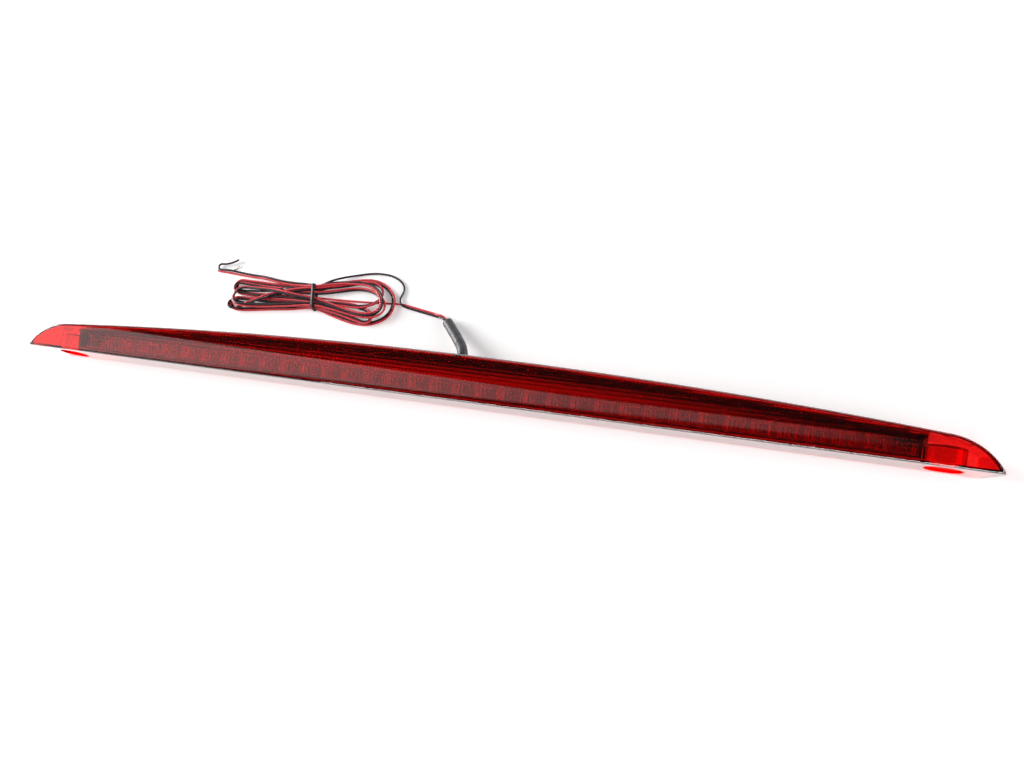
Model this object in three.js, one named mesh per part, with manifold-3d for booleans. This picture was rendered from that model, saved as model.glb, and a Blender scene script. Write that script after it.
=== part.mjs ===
// Third brake light: a long bow-shaped LED lamp with a red lens, a black tray inside it and a tied lead.
// Millimetres. +X runs along the lamp, +Y towards its bowed upper edge, +Z is the way the light leaves.
// The origin is the middle of the back face, which lies in the plane z = 0.
import * as THREE from "three";
import { mergeVertices } from "three/addons/utils/BufferGeometryUtils.js";
import Module from "manifold-3d";

const wasm = await Module();
wasm.setup();

// ---- Driving dimensions ---------------------------------------------------------------------------

const CLEARANCE = 0.3; // gap between pieces that touch

// Lens
const LAMP_LENGTH = 860; // tip to tip
const LAMP_HEIGHT = 40; // straight lower edge to the top of the bow, at the middle
const EDGE_DEPTH = 34; // back face to the lens's lower front edge
const CROWN = 4; // how far the front swells ahead of that edge
const BOW_FALL = 19.5; // how far the upper edge's long arc falls over half the length
const TIP_RADIUS = 52; // arc that takes the upper edge down to each tip
const TIP_BLUNT = 1.6; // height of the flat left at the very tip
const TIP_UNDERCUT = 16; // how far the back corner stands in from the tip
const UNDERCUT_DEPTH = 28; // depth over which the end slants out to the tip
const SHOULDER_RADIUS = 8; // round between the front and the upper edge
const FRONT_EDGE_RADIUS = 1.5; // round between the front and the lower face
const LENS_WALL = 2.8;

// Blind mounting pockets moulded into the lens, open in its lower face
const POCKET_FROM_TIP = 41; // pocket's axis to the nearer tip
const POCKET_LENGTH = 28;
const POCKET_WIDTH = 22;
const POCKET_DEPTH = 14.5;
const POCKET_WALL = 1.6;
const POCKET_LEVEL = 17; // height of its axis above the back face

// Tray
const TRAY_WALL = 2;
const TRAY_FLOOR = 3;
const TRAY_END_FLARE = 3; // how much further out the end walls stand above the pockets
const RECESS_DEPTH = 1; // moulded recesses in the back
const RECESS_COUNT = 8;
const RECESS_RIB = 8; // rib left between two recesses
const RECESS_BORDER = 5;

// Bead of sealant in a groove round the tray's back
const SEAL_WIDTH = 1.5;
const SEAL_DEPTH = 1.8;

// Light-emitting diodes, 5 mm type
const LED_COUNT = 36;
const LED_RADIUS = 2.5;
const LED_FLANGE_RADIUS = 2.9;
const LED_FLANGE_HEIGHT = 1;
const LED_HEIGHT = 8.6;
const LED_RISE = 12.5; // the row's distance from the lower face

// Circuit boards
const BOARD_COUNT = 3;
const BOARD_WIDTH = 12;
const BOARD_THICKNESS = 1.6;
const BOARD_LEVEL = 5; // underside above the back face
const BOARD_GAP = 2; // between two boards
const RESISTOR = { length: 3.2, width: 1.6, height: 0.7 };
const DIODE = { length: 4.3, width: 2.6, height: 0.9 };
const LINK = { overlap: 3.4, width: 5, thickness: 0.8 };
const STAKE_RADIUS = 1.4;
const STAKE_HEAD_RADIUS = 2.4;
const STAKE_HEAD_HEIGHT = 0.7;
const STAKE_PAD = 7;

// Reflector
const REFLECTOR_LEVEL = 8.3; // underside above the back face
const CELL_BLOCK_TOP = 24;
const CELL_BLOCK_RISE = 19.4; // the block's upper side above the lower face
const TROUGH_TOP = 18;
const ARCH_RIM_TOP = 25;
const ARCH_RIM_WIDTH = 4;
const CELL_RIB = 5; // flat left between two cells
const CELL_HEIGHT = 12;
const CELL_FLOOR_HEIGHT = 7;
const REFLECTOR_SKIN = 1.6; // wall left over the hollow behind the trough

// Cable
const CABLE_LEVEL = 12; // height of the outlet's axis above the back face
const CORE_RADIUS = 0.95;
const CORE_PITCH = 2.2; // between the axes of the two cores
const GROMMET = { neck: 4.7, flange: 6.3, bore: 2.3, lip: 1.5 };
const SLEEVE_RADIUS = 4;
const STRAND_RADIUS = 0.45;
const HANK_HEIGHT = 9;
const HANK_WAIST = { low: 30, high: 54.5 }; // its two sides at the tie, from the upper face
const TIE_X = -157;
const TIE_WIDTH = 3.6;
const TIE_THICKNESS = 0.9;

// ---- Values worked out from them ------------------------------------------------------------------

const HALF_LENGTH = LAMP_LENGTH / 2;
const LOWER_FACE = -LAMP_HEIGHT / 2;
const UPPER_FACE = LAMP_HEIGHT / 2;
const LAMP_DEPTH = EDGE_DEPTH + CROWN;
const ARCH_RADIUS = (HALF_LENGTH ** 2 + BOW_FALL ** 2) / (2 * BOW_FALL);
const ARCH_Y = UPPER_FACE - ARCH_RADIUS;
const CROWN_RADIUS = (UPPER_FACE ** 2 + CROWN ** 2) / (2 * CROWN);
const TRAY_INSET = LENS_WALL + CLEARANCE;
const INNER_INSET = TRAY_INSET + TRAY_WALL + CLEARANCE;
const POCKET_CENTRE = HALF_LENGTH - POCKET_FROM_TIP;
const LED_LINE = LOWER_FACE + LED_RISE;
const CELL_BLOCK_EDGE = LOWER_FACE + CELL_BLOCK_RISE;
const TRAY_END = POCKET_CENTRE - POCKET_LENGTH / 2 - POCKET_WALL - CLEARANCE;
const POCKET_ROOF = LOWER_FACE + POCKET_DEPTH;
const CELLS_END = TRAY_END - TRAY_WALL - CLEARANCE;
const CELL_PITCH = (2 * CELLS_END) / LED_COUNT;
const BOARD_PITCH = (2 * CELLS_END) / BOARD_COUNT;
const BOARD_TOP = BOARD_LEVEL + BOARD_THICKNESS;
const BEYOND = 10; // how far a cutting shape runs past what it cuts
const ARC_SEGMENTS = 8; // an arc has twice as many sides

// ---- Shapes to solids -----------------------------------------------------------------------------

// A closed geometry as a manifold-3d solid.
function solidOf(geometry) {
  const bare = geometry.clone();
  bare.deleteAttribute("normal");
  bare.deleteAttribute("uv");
  const merged = mergeVertices(bare, 1e-4);
  return new wasm.Manifold(
    new wasm.Mesh({
      numProp: 3,
      vertProperties: merged.attributes.position.array,
      triVerts: new Uint32Array(merged.index.array),
    }),
  );
}

// A solid as a geometry that a mesh can hold.
function geometryOf(solid) {
  const { vertProperties, triVerts } = solid.getMesh();
  const geometry = new THREE.BufferGeometry();
  geometry.setAttribute("position", new THREE.BufferAttribute(vertProperties, 3));
  geometry.setIndex(new THREE.BufferAttribute(triVerts, 1));
  geometry.computeVertexNormals();
  return geometry;
}

function polygon(points) {
  return new THREE.Shape(points.map(([x, y]) => new THREE.Vector2(x, y)));
}

// A shape as straight sides, without the doubled points where its arcs meet.
function straightened(shape, curveSegments = ARC_SEGMENTS) {
  const points = shape.getPoints(curveSegments);
  const apart = points.filter((point, i) => point.distanceTo(points[(i + 1) % points.length]) > 1e-3);
  return new THREE.Shape(apart);
}

// Extrudes a shape drawn in X and Y from one height to another.
function upright(shape, low, high, curveSegments = ARC_SEGMENTS) {
  const geometry = new THREE.ExtrudeGeometry(straightened(shape, curveSegments), {
    depth: high - low,
    bevelEnabled: false,
  });
  return geometry.translate(0, 0, low);
}

// Extrudes a shape drawn in Y and Z along X.
function lengthwise(shape, low, high, curveSegments = ARC_SEGMENTS) {
  const turn = new THREE.Matrix4().makeBasis(
    new THREE.Vector3(0, 1, 0),
    new THREE.Vector3(0, 0, 1),
    new THREE.Vector3(1, 0, 0),
  );
  return upright(shape, low, high, curveSegments).applyMatrix4(turn);
}

// Extrudes a shape drawn in X and Z along Y.
function crosswise(shape, low, high, curveSegments = ARC_SEGMENTS) {
  const turn = new THREE.Matrix4().makeBasis(
    new THREE.Vector3(1, 0, 0),
    new THREE.Vector3(0, 0, 1),
    new THREE.Vector3(0, -1, 0),
  );
  return upright(shape, -high, -low, curveSegments).applyMatrix4(turn);
}

function box([x0, y0, z0], [x1, y1, z1]) {
  const geometry = new THREE.BoxGeometry(x1 - x0, y1 - y0, z1 - z0);
  return geometry.translate((x0 + x1) / 2, (y0 + y1) / 2, (z0 + z1) / 2);
}

// A turned shape on the Z axis from [radius, height] points.
function turned(points, segments) {
  return new THREE.LatheGeometry(
    points.map(([radius, height]) => new THREE.Vector2(radius, height)),
    segments,
  ).rotateX(Math.PI / 2);
}

// A tube of a round section along a smooth curve through the points.
function tube(points, radius, sides, steps) {
  const section = new THREE.Shape();
  section.absarc(0, 0, radius, 0, 2 * Math.PI);
  const path = new THREE.CatmullRomCurve3(points.map((point) => new THREE.Vector3(...point)));
  // A full circle is divided into twice its curveSegments.
  return new THREE.ExtrudeGeometry(section, { extrudePath: path, steps, curveSegments: sides / 2 });
}

// An obround in the shape's own plane, its length along the first axis.
function obround(length, width, x = 0, y = 0) {
  const shape = new THREE.Shape();
  const straight = (length - width) / 2;
  shape.absarc(x + straight, y, width / 2, -Math.PI / 2, Math.PI / 2);
  shape.absarc(x - straight, y, width / 2, Math.PI / 2, (3 * Math.PI) / 2);
  return shape;
}

// ---- The bow --------------------------------------------------------------------------------------

// Centre of the right tip's arc: inside tangent to the long arc and through the top of the blunt tip.
function tipCentre() {
  const arch = new THREE.Vector2(0, ARCH_Y);
  const tip = new THREE.Vector2(HALF_LENGTH, LOWER_FACE + TIP_BLUNT);
  const span = tip.distanceTo(arch);
  const reach = ARCH_RADIUS - TIP_RADIUS;
  const along = (reach ** 2 - TIP_RADIUS ** 2 + span ** 2) / (2 * span);
  const aside = Math.sqrt(reach ** 2 - along ** 2);
  const way = tip.clone().sub(arch).normalize();
  return arch.addScaledVector(way, along).add(new THREE.Vector2(-way.y, way.x).multiplyScalar(aside));
}

// The bow seen from the front, drawn in by inset. The tips' arcs run on below the lower face and past
// the tips, where other shapes cut them off.
function bowShape(inset) {
  const centre = tipCentre();
  const radius = TIP_RADIUS - inset;
  const joint = Math.atan2(centre.y - ARCH_Y, centre.x);
  const shape = new THREE.Shape();
  shape.moveTo(-centre.x - radius, centre.y - LAMP_HEIGHT);
  shape.lineTo(centre.x + radius, centre.y - LAMP_HEIGHT);
  shape.absarc(centre.x, centre.y, radius, 0, joint);
  shape.absarc(0, ARCH_Y, ARCH_RADIUS - inset, joint, Math.PI - joint);
  shape.absarc(-centre.x, centre.y, radius, Math.PI - joint, Math.PI);
  return shape;
}

// The lens's section: lower face, small front edge, and the crowned front.
function crownShape(inset) {
  const radius = CROWN_RADIUS - inset;
  const centre = LAMP_DEPTH - CROWN_RADIUS;
  const lower = LOWER_FACE + inset;
  const corner = Math.max(FRONT_EDGE_RADIUS - inset, 0.4);
  const low = Math.asin((lower + corner) / (radius - corner));
  const cornerZ = centre + (radius - corner) * Math.cos(low);
  const front = Math.PI / 2 - low;
  const shape = new THREE.Shape();
  shape.moveTo(UPPER_FACE + BEYOND, -BEYOND);
  shape.lineTo(UPPER_FACE + BEYOND, centre + Math.sqrt(radius ** 2 - (UPPER_FACE + BEYOND) ** 2));
  shape.absarc(0, centre, radius, Math.acos((UPPER_FACE + BEYOND) / radius), front);
  shape.absarc(lower + corner, cornerZ, corner, front, Math.PI);
  shape.lineTo(lower, -BEYOND);
  return shape;
}

// The lens seen from below: each end slants out from the back corner to the tip.
function endsShape(inset) {
  const slope = TIP_UNDERCUT / UNDERCUT_DEPTH;
  const aside = inset * Math.sqrt(1 + slope ** 2);
  const foot = HALF_LENGTH - TIP_UNDERCUT - aside - slope * BEYOND;
  const end = HALF_LENGTH - inset;
  const knee = -BEYOND + (end - foot) / slope;
  return polygon([
    [-foot, -BEYOND],
    [foot, -BEYOND],
    [end, knee],
    [end, LAMP_DEPTH + BEYOND],
    [-end, LAMP_DEPTH + BEYOND],
    [-end, knee],
  ]);
}

// The lens's outer form drawn in by inset, running on below the back plane.
function bowBody(inset) {
  const shoulder = SHOULDER_RADIUS - inset;
  const outline = straightened(bowShape(inset));
  const front = new THREE.ExtrudeGeometry(outline, {
    depth: LAMP_DEPTH - inset - shoulder + 2 * BEYOND,
    bevelThickness: shoulder,
    bevelSize: shoulder,
    bevelOffset: -shoulder,
    bevelSegments: 3,
  }).translate(0, 0, -2 * BEYOND);
  const crown = solidOf(lengthwise(crownShape(inset), -LAMP_LENGTH, LAMP_LENGTH));
  const ends = solidOf(crosswise(endsShape(inset), -LAMP_HEIGHT, LAMP_HEIGHT));
  return solidOf(front).intersect(crown).intersect(ends);
}

const aboveBack = solidOf(
  box([-LAMP_LENGTH, -LAMP_HEIGHT, 0], [LAMP_LENGTH, LAMP_HEIGHT, LAMP_DEPTH + BEYOND]),
);

// What lies between the tray's ends, drawn in by inset, and above a floor line across the lamp. Each
// end wall steps out above the pocket.
function betweenEnds(inset, floor, low, high) {
  const pocketTop = POCKET_ROOF + POCKET_WALL + CLEARANCE;
  const narrow = TRAY_END - inset;
  const wide = narrow + TRAY_END_FLARE;
  const outline = [
    [narrow, floor],
    [narrow, pocketTop + inset / 2],
    [wide, pocketTop + TRAY_END_FLARE + inset / 2],
    [wide, UPPER_FACE + BEYOND],
  ];
  const mirrored = outline.map(([x, y]) => [-x, y]).reverse();
  return solidOf(upright(polygon([...outline, ...mirrored]), low, high));
}

// A slab inside the lamp's outline and between the tray's ends.
function slab(inset, endInset, low, high) {
  const outline = solidOf(upright(bowShape(inset), low, high));
  return outline.intersect(betweenEnds(endInset, LOWER_FACE + inset, low - 1, high + 1));
}

// A round hole or rod along Y at the cable outlet.
function outletRod(radius, low, high) {
  const rod = new THREE.CylinderGeometry(radius, radius, high - low, 24);
  return rod.translate(0, (low + high) / 2, CABLE_LEVEL);
}

// ---- Pieces ---------------------------------------------------------------------------------------

function lensCover() {
  let lens = bowBody(0).intersect(aboveBack).subtract(bowBody(LENS_WALL));
  for (const side of [-1, 1]) {
    const grown = POCKET_WALL * 2;
    const shell = obround(POCKET_LENGTH + grown, POCKET_WIDTH + grown, side * POCKET_CENTRE, POCKET_LEVEL);
    const hollow = obround(POCKET_LENGTH, POCKET_WIDTH, side * POCKET_CENTRE, POCKET_LEVEL);
    const wall = solidOf(crosswise(shell, LOWER_FACE + LENS_WALL / 2, POCKET_ROOF + POCKET_WALL));
    lens = lens.add(wall).subtract(solidOf(crosswise(hollow, LOWER_FACE - BEYOND, POCKET_ROOF)));
  }
  const hole = outletRod(GROMMET.neck + CLEARANCE, UPPER_FACE - 2 * LENS_WALL, UPPER_FACE + BEYOND);
  return lens.subtract(solidOf(hole));
}

// Place of each board along the lamp, from left to right.
const boardCentres = Array.from({ length: BOARD_COUNT }, (_, i) => (i - (BOARD_COUNT - 1) / 2) * BOARD_PITCH);
const stakeOffset = (Math.floor(LED_COUNT / BOARD_COUNT / 2) - 1) * CELL_PITCH;

function rearHousing() {
  const height = LAMP_DEPTH + 1;
  const outer = slab(TRAY_INSET, 0, 0, height).intersect(bowBody(TRAY_INSET));
  let tray = outer.subtract(slab(TRAY_INSET + TRAY_WALL, TRAY_WALL, TRAY_FLOOR, height));
  const grooveInset = TRAY_INSET + SEAL_WIDTH + CLEARANCE;
  const groove = slab(TRAY_INSET - 1, -1, -1, SEAL_DEPTH + CLEARANCE).subtract(
    slab(grooveInset, SEAL_WIDTH + CLEARANCE, -2, SEAL_DEPTH + 1),
  );
  tray = tray.subtract(groove);
  const recessPitch = (2 * CELLS_END) / RECESS_COUNT;
  const field = slab(grooveInset + RECESS_BORDER, RECESS_BORDER + grooveInset, -1, RECESS_DEPTH);
  for (let i = 0; i < RECESS_COUNT; i += 1) {
    const left = -CELLS_END + i * recessPitch;
    const cutter = box(
      [left + RECESS_RIB / 2, -LAMP_HEIGHT, -2],
      [left + recessPitch - RECESS_RIB / 2, LAMP_HEIGHT, RECESS_DEPTH + 1],
    );
    tray = tray.subtract(field.intersect(solidOf(cutter)));
  }
  for (const centre of boardCentres) {
    for (const side of [-1, 1]) {
      const x = centre + side * stakeOffset;
      const pad = box(
        [x - STAKE_PAD / 2, LED_LINE - STAKE_PAD / 2, TRAY_FLOOR - 1],
        [x + STAKE_PAD / 2, LED_LINE + STAKE_PAD / 2, BOARD_LEVEL - CLEARANCE],
      );
      const headLow = BOARD_TOP + CLEARANCE;
      const stake = turned(
        [
          [0, TRAY_FLOOR],
          [STAKE_RADIUS, TRAY_FLOOR],
          [STAKE_RADIUS, headLow],
          [STAKE_HEAD_RADIUS, headLow],
          [STAKE_RADIUS, headLow + STAKE_HEAD_HEIGHT],
          [0, headLow + STAKE_HEAD_HEIGHT],
        ],
        12,
      ).translate(x, LED_LINE, 0);
      tray = tray.add(solidOf(pad)).add(solidOf(stake));
    }
  }
  const hole = outletRod(GROMMET.neck + CLEARANCE, UPPER_FACE - TRAY_INSET - 3 * TRAY_WALL, UPPER_FACE);
  return tray.subtract(solidOf(hole));
}

function perimeterSeal() {
  const outer = slab(TRAY_INSET, 0, 0, SEAL_DEPTH);
  return outer.subtract(slab(TRAY_INSET + SEAL_WIDTH, SEAL_WIDTH, -1, SEAL_DEPTH + 1));
}

// X of the middle of each cell, from left to right.
const cellCentres = Array.from({ length: LED_COUNT }, (_, i) => (i - (LED_COUNT - 1) / 2) * CELL_PITCH);

function reflector() {
  const endInset = TRAY_WALL + CLEARANCE;
  const trough = slab(INNER_INSET, endInset, REFLECTOR_LEVEL, TROUGH_TOP);
  const block = slab(INNER_INSET, endInset, REFLECTOR_LEVEL, CELL_BLOCK_TOP).intersect(
    solidOf(box([-HALF_LENGTH, -LAMP_HEIGHT, 0], [HALF_LENGTH, CELL_BLOCK_EDGE, LAMP_DEPTH])),
  );
  const rim = slab(INNER_INSET, endInset, REFLECTOR_LEVEL, ARCH_RIM_TOP).subtract(
    slab(INNER_INSET + ARCH_RIM_WIDTH, -BEYOND, REFLECTOR_LEVEL - 1, ARCH_RIM_TOP + 1),
  ).intersect(solidOf(box([-HALF_LENGTH, CELL_BLOCK_EDGE - 4, 0], [HALF_LENGTH, LAMP_HEIGHT, LAMP_DEPTH])));
  const hollow = slab(
    INNER_INSET + REFLECTOR_SKIN,
    endInset + REFLECTOR_SKIN,
    REFLECTOR_LEVEL - 1,
    TROUGH_TOP - REFLECTOR_SKIN,
  ).subtract(
    solidOf(box([-HALF_LENGTH, -LAMP_HEIGHT, 0], [HALF_LENGTH, CELL_BLOCK_EDGE, LAMP_DEPTH])),
  );
  let body = trough.add(block).add(rim).subtract(hollow);
  const taper = CELL_FLOOR_HEIGHT / CELL_HEIGHT;
  const depth = CELL_BLOCK_TOP - REFLECTOR_LEVEL;
  for (const x of cellCentres) {
    const cell = new THREE.CylinderGeometry(Math.SQRT1_2, Math.SQRT1_2 * taper, depth, 4, 1, false, Math.PI / 4)
      .rotateX(Math.PI / 2)
      .scale(CELL_PITCH - CELL_RIB, CELL_HEIGHT, 1)
      .translate(x, LED_LINE, REFLECTOR_LEVEL + depth / 2);
    body = body.subtract(solidOf(cell));
  }
  const flangeTop = CABLE_LEVEL + GROMMET.flange + CLEARANCE;
  const flangeSide = GROMMET.flange + CLEARANCE;
  const flangeInside = UPPER_FACE - TRAY_INSET - TRAY_WALL - CLEARANCE - GROMMET.lip - CLEARANCE;
  const flangeRoom = box([-flangeSide, flangeInside, 0], [flangeSide, UPPER_FACE, flangeTop]);
  const wireSide = CORE_PITCH / 2 + CORE_RADIUS + CLEARANCE;
  const wireTop = CABLE_LEVEL + CORE_RADIUS + CLEARANCE;
  const wireRoom = box([-wireSide, LED_LINE + CELL_HEIGHT / 2, 0], [wireSide, UPPER_FACE, wireTop]);
  return body.subtract(solidOf(flangeRoom)).subtract(solidOf(wireRoom));
}

// A board on its own centre, with its resistors and one diode soldered on.
function board() {
  const half = BOARD_PITCH / 2 - BOARD_GAP / 2;
  let body = solidOf(box([-half, -BOARD_WIDTH / 2, 0], [half, BOARD_WIDTH / 2, BOARD_THICKNESS]));
  const chip = (x, part) =>
    box(
      [x - part.width / 2, -part.length / 2, BOARD_THICKNESS - 0.4],
      [x + part.width / 2, part.length / 2, BOARD_THICKNESS + part.height],
    );
  for (const step of [-4, -2, 2, 4]) body = body.add(solidOf(chip(step * CELL_PITCH, RESISTOR)));
  body = body.add(solidOf(chip(0, DIODE)));
  for (const side of [-1, 1]) {
    const hole = new THREE.CylinderGeometry(
      STAKE_RADIUS + CLEARANCE,
      STAKE_RADIUS + CLEARANCE,
      4 * BOARD_THICKNESS,
      12,
    ).rotateX(Math.PI / 2);
    body = body.subtract(solidOf(hole.translate(side * stakeOffset, 0, 0)));
  }
  return body;
}

function boardLink() {
  const half = BOARD_GAP / 2 + LINK.overlap;
  return new THREE.BoxGeometry(2 * half, LINK.width, LINK.thickness);
}

function led() {
  const points = [
    [0, 0],
    [LED_FLANGE_RADIUS, 0],
    [LED_FLANGE_RADIUS, LED_FLANGE_HEIGHT],
    [LED_RADIUS, LED_FLANGE_HEIGHT],
  ];
  const domeSteps = 2;
  for (let i = 0; i <= domeSteps; i += 1) {
    const angle = (i / domeSteps) * (Math.PI / 2);
    points.push([
      i === domeSteps ? 0 : LED_RADIUS * Math.cos(angle),
      LED_HEIGHT - LED_RADIUS + LED_RADIUS * Math.sin(angle),
    ]);
  }
  return turned(points, 8);
}

// A rubber grommet on the outlet's axis: inner lip, neck through both walls, outer lip.
function grommet() {
  const innerFace = UPPER_FACE - TRAY_INSET - TRAY_WALL - CLEARANCE;
  const outerFace = UPPER_FACE + CLEARANCE;
  return turned(
    [
      [GROMMET.bore, innerFace - GROMMET.lip],
      [GROMMET.flange, innerFace - GROMMET.lip],
      [GROMMET.flange, innerFace],
      [GROMMET.neck, innerFace],
      [GROMMET.neck, outerFace],
      [GROMMET.flange, outerFace],
      [GROMMET.flange - 0.5, outerFace + GROMMET.lip],
      [GROMMET.bore, outerFace + GROMMET.lip],
      [GROMMET.bore, innerFace - GROMMET.lip],
    ],
    20,
  )
    .rotateX(-Math.PI / 2)
    .translate(0, 0, CABLE_LEVEL);
}

// ---- The cable's own places -----------------------------------------------------------------------

const outletFace = UPPER_FACE + CLEARANCE + GROMMET.lip;

const feedRoute = (side) => [
  [side, LED_LINE + BOARD_WIDTH / 2 + CLEARANCE, BOARD_LEVEL + CORE_RADIUS],
  [side, UPPER_FACE - 17, BOARD_LEVEL + 1.4],
  [side, UPPER_FACE - 12, CABLE_LEVEL - 2.6],
  [side, UPPER_FACE - 8, CABLE_LEVEL - 0.4],
  [side, UPPER_FACE - 5, CABLE_LEVEL],
  [side, outletFace, CABLE_LEVEL],
];

// What lies outside the lamp is placed by its distance from the upper face.
const LEAD_START = GROMMET.lip + 2 * CLEARANCE;

const sleeveRoute = [
  [0, LEAD_START, CABLE_LEVEL],
  [0, LEAD_START + 1.2, CABLE_LEVEL],
  [-0.2, LEAD_START + 2.7, CABLE_LEVEL],
  [-1, 7.5, 11.9],
  [-3.5, 11, 11.3],
  [-8, 16.5, 9.8],
  [-13.5, 22.5, 7.8],
  [-19, 28.5, 5.6],
  [-23.5, 33, 4.4],
];

// The pair's middle line from the sleeve's mouth to the hank.
const leadRoute = [
  [-23.9, 33.4, 4.4],
  [-26, 35.2, 4.2],
  [-29.5, 36.8, 3.6],
  [-36, 38.2, 2.4],
  [-46, 40, 1.4],
  [-58, 42, 1],
  [-71.5, 44.2, 1.2],
];

// The black core's own loop, from the lead round to the hank's top beside the tie.
const loopRoute = [
  [-71.9, 47, 2.4],
  [-70.8, 51, 1.3],
  [-69.8, 56.5, 0.95],
  [-71.8, 62, 0.95],
  [-77, 66.6, 0.95],
  [-84, 69.6, 0.95],
  [-93, 71, 0.95],
  [-103.5, 70.8, 0.95],
  [-112, 69.3, 1],
  [-120, 67.4, 1.3],
  [-129, 64.9, 2.2],
  [-138, 62, 3.4],
  [-143, 60.4, 4.2],
];

// The red core from the hank to its stripped end.
const redTailRoute = [
  [-213, 54.75, 3.7],
  [-221, 55.35, 2.4],
  [-230, 56.05, 1.5],
  [-240, 56.95, 1.1],
  [-250, 57.85, 1.05],
  [-258, 58.35, 1.05],
  [-265.5, 58.75, 1.05],
];

// The black core beside it, folded back at its end.
const blackTailRoute = [
  [-213, 57.05, 3.6],
  [-221, 57.65, 2.3],
  [-230, 58.35, 1.4],
  [-240, 59.25, 1.15],
  [-248, 60.05, 1.9],
  [-254, 60.65, 2.2],
  [-260, 60.95, 2.2],
  [-263.6, 61.25, 2.2],
  [-266, 62.4, 2.2],
  [-266, 64.6, 2.2],
  [-263.8, 66, 2.2],
  [-259, 67, 2],
  [-252, 69, 2.2],
  [-245.2, 71.2, 2.6],
];

// The red core's bare strand, folded back below the black core.
const strandRoute = [
  [-265.9, 58.9, 0.9],
  [-267, 59.6, 0.7],
  [-266.2, 60.8, 0.5],
  [-261, 61, 0.5],
  [-255, 60.8, 0.5],
  [-250.5, 60.8, 0.5],
  [-247, 62.6, 0.6],
  [-243.6, 65.5, 1],
];

// Moves a route sideways, to the left of its own direction, in the ground plane.
function beside(route, distance) {
  return route.map(([x, y, z], i) => {
    const before = route[Math.max(i - 1, 0)];
    const after = route[Math.min(i + 1, route.length - 1)];
    const length = Math.hypot(after[0] - before[0], after[1] - before[1]);
    const dx = (after[0] - before[0]) / length;
    const dy = (after[1] - before[1]) / length;
    return [x - dy * distance, y + dx * distance, z];
  });
}

// The hank seen from above: waisted at the tie, its loops spread at the right.
function hankOutline() {
  const shape = new THREE.Shape();
  shape.moveTo(-237, 23);
  shape.splineThru(
    [
      [-210, 24.8],
      [-180, 28],
      [TIE_X, HANK_WAIST.low],
      [-138, 28],
      [-120, 23],
      [-104, 21.5],
      [-92, 25],
      [-80, 34],
      [-73, 46],
      [-80, 58],
      [-93, 64.5],
      [-108, 65],
      [-130, 59.5],
      [TIE_X, HANK_WAIST.high],
      [-190, 53.2],
      [-225, 52.6],
      [-240, 51],
      [-247, 41],
      [-247, 30],
      [-237, 23],
    ].map(([x, y]) => new THREE.Vector2(x, y)),
  );
  return shape;
}

function cableHank() {
  const body = solidOf(upright(hankOutline(), 0, HANK_HEIGHT, 3));
  const sunk = TIE_THICKNESS + 2 * CLEARANCE;
  const half = TIE_WIDTH / 2 + CLEARANCE;
  const waist = HANK_WAIST;
  const groove = solidOf(
    box([TIE_X - half, waist.low - BEYOND, -BEYOND], [TIE_X + half, waist.high + BEYOND, HANK_HEIGHT + BEYOND]),
  ).subtract(
    solidOf(
      box(
        [TIE_X - half - 1, waist.low + sunk, sunk],
        [TIE_X + half + 1, waist.high - sunk, HANK_HEIGHT - sunk],
      ),
    ),
  );
  return body.subtract(groove);
}

function cableTie() {
  const waist = HANK_WAIST;
  const inset = CLEARANCE;
  const half = TIE_WIDTH / 2;
  const outer = box(
    [TIE_X - half, waist.low + inset, inset],
    [TIE_X + half, waist.high - inset, HANK_HEIGHT - inset],
  );
  const depth = inset + TIE_THICKNESS;
  const inner = box(
    [TIE_X - half - 1, waist.low + depth, depth],
    [TIE_X + half + 1, waist.high - depth, HANK_HEIGHT - depth],
  );
  return solidOf(outer).subtract(solidOf(inner));
}

// ---- Materials ------------------------------------------------------------------------------------

const finish = (color, roughness, metalness = 0, more = {}) =>
  new THREE.MeshStandardMaterial({ color, roughness, metalness, ...more });

const redAcrylic = finish(0xb01018, 0.08, 0, { transparent: true, opacity: 0.75 });
const blackAbs = finish(0x141213, 0.45);
const darkReflector = finish(0x3a2a2c, 0.25, 0.6);
const circuitBoard = finish(0xd8dcd2, 0.5);
const tinnedWire = finish(0xb8b4ac, 0.35, 1);
const redEpoxy = finish(0xc41a20, 0.12);
const sealant = finish(0x1a1a1a, 0.7);
const rubber = finish(0x1c1c1d, 0.8);
const shrinkSleeve = finish(0x2c2c2e, 0.6);
const redPvc = finish(0xc03038, 0.4);
const blackPvc = finish(0x241c20, 0.42);
const hankPvc = finish(0x8a2c34, 0.45);
const tiePvc = finish(0x36352f, 0.5);

// ---- Assembly -------------------------------------------------------------------------------------

const lamp = new THREE.Group();

function place(name, shape, material, parent = lamp) {
  const geometry = shape.isBufferGeometry ? shape : geometryOf(shape);
  const mesh = new THREE.Mesh(geometry, material);
  mesh.name = name;
  parent.add(mesh);
  return mesh;
}

place("lens_cover", lensCover(), redAcrylic);
place("rear_housing", rearHousing(), blackAbs);
place("perimeter_seal", perimeterSeal(), sealant);
place("reflector", reflector(), darkReflector);

const electronics = new THREE.Group();
electronics.position.set(0, LED_LINE, 0);
lamp.add(electronics);

boardCentres.forEach((x, i) => {
  place(`led_board_${i + 1}`, board(), circuitBoard, electronics).position.set(x, 0, BOARD_LEVEL);
});
for (let i = 1; i < BOARD_COUNT; i += 1) {
  const x = (boardCentres[i - 1] + boardCentres[i]) / 2;
  const z = BOARD_TOP + CLEARANCE + LINK.thickness / 2;
  place(`board_link_${i}`, boardLink(), tinnedWire, electronics).position.set(x, 0, z);
}
cellCentres.forEach((x, i) => {
  const name = `led_${String(i + 1).padStart(2, "0")}`;
  place(name, led(), redEpoxy, electronics).position.set(x, 0, BOARD_TOP + CLEARANCE);
});

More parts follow.
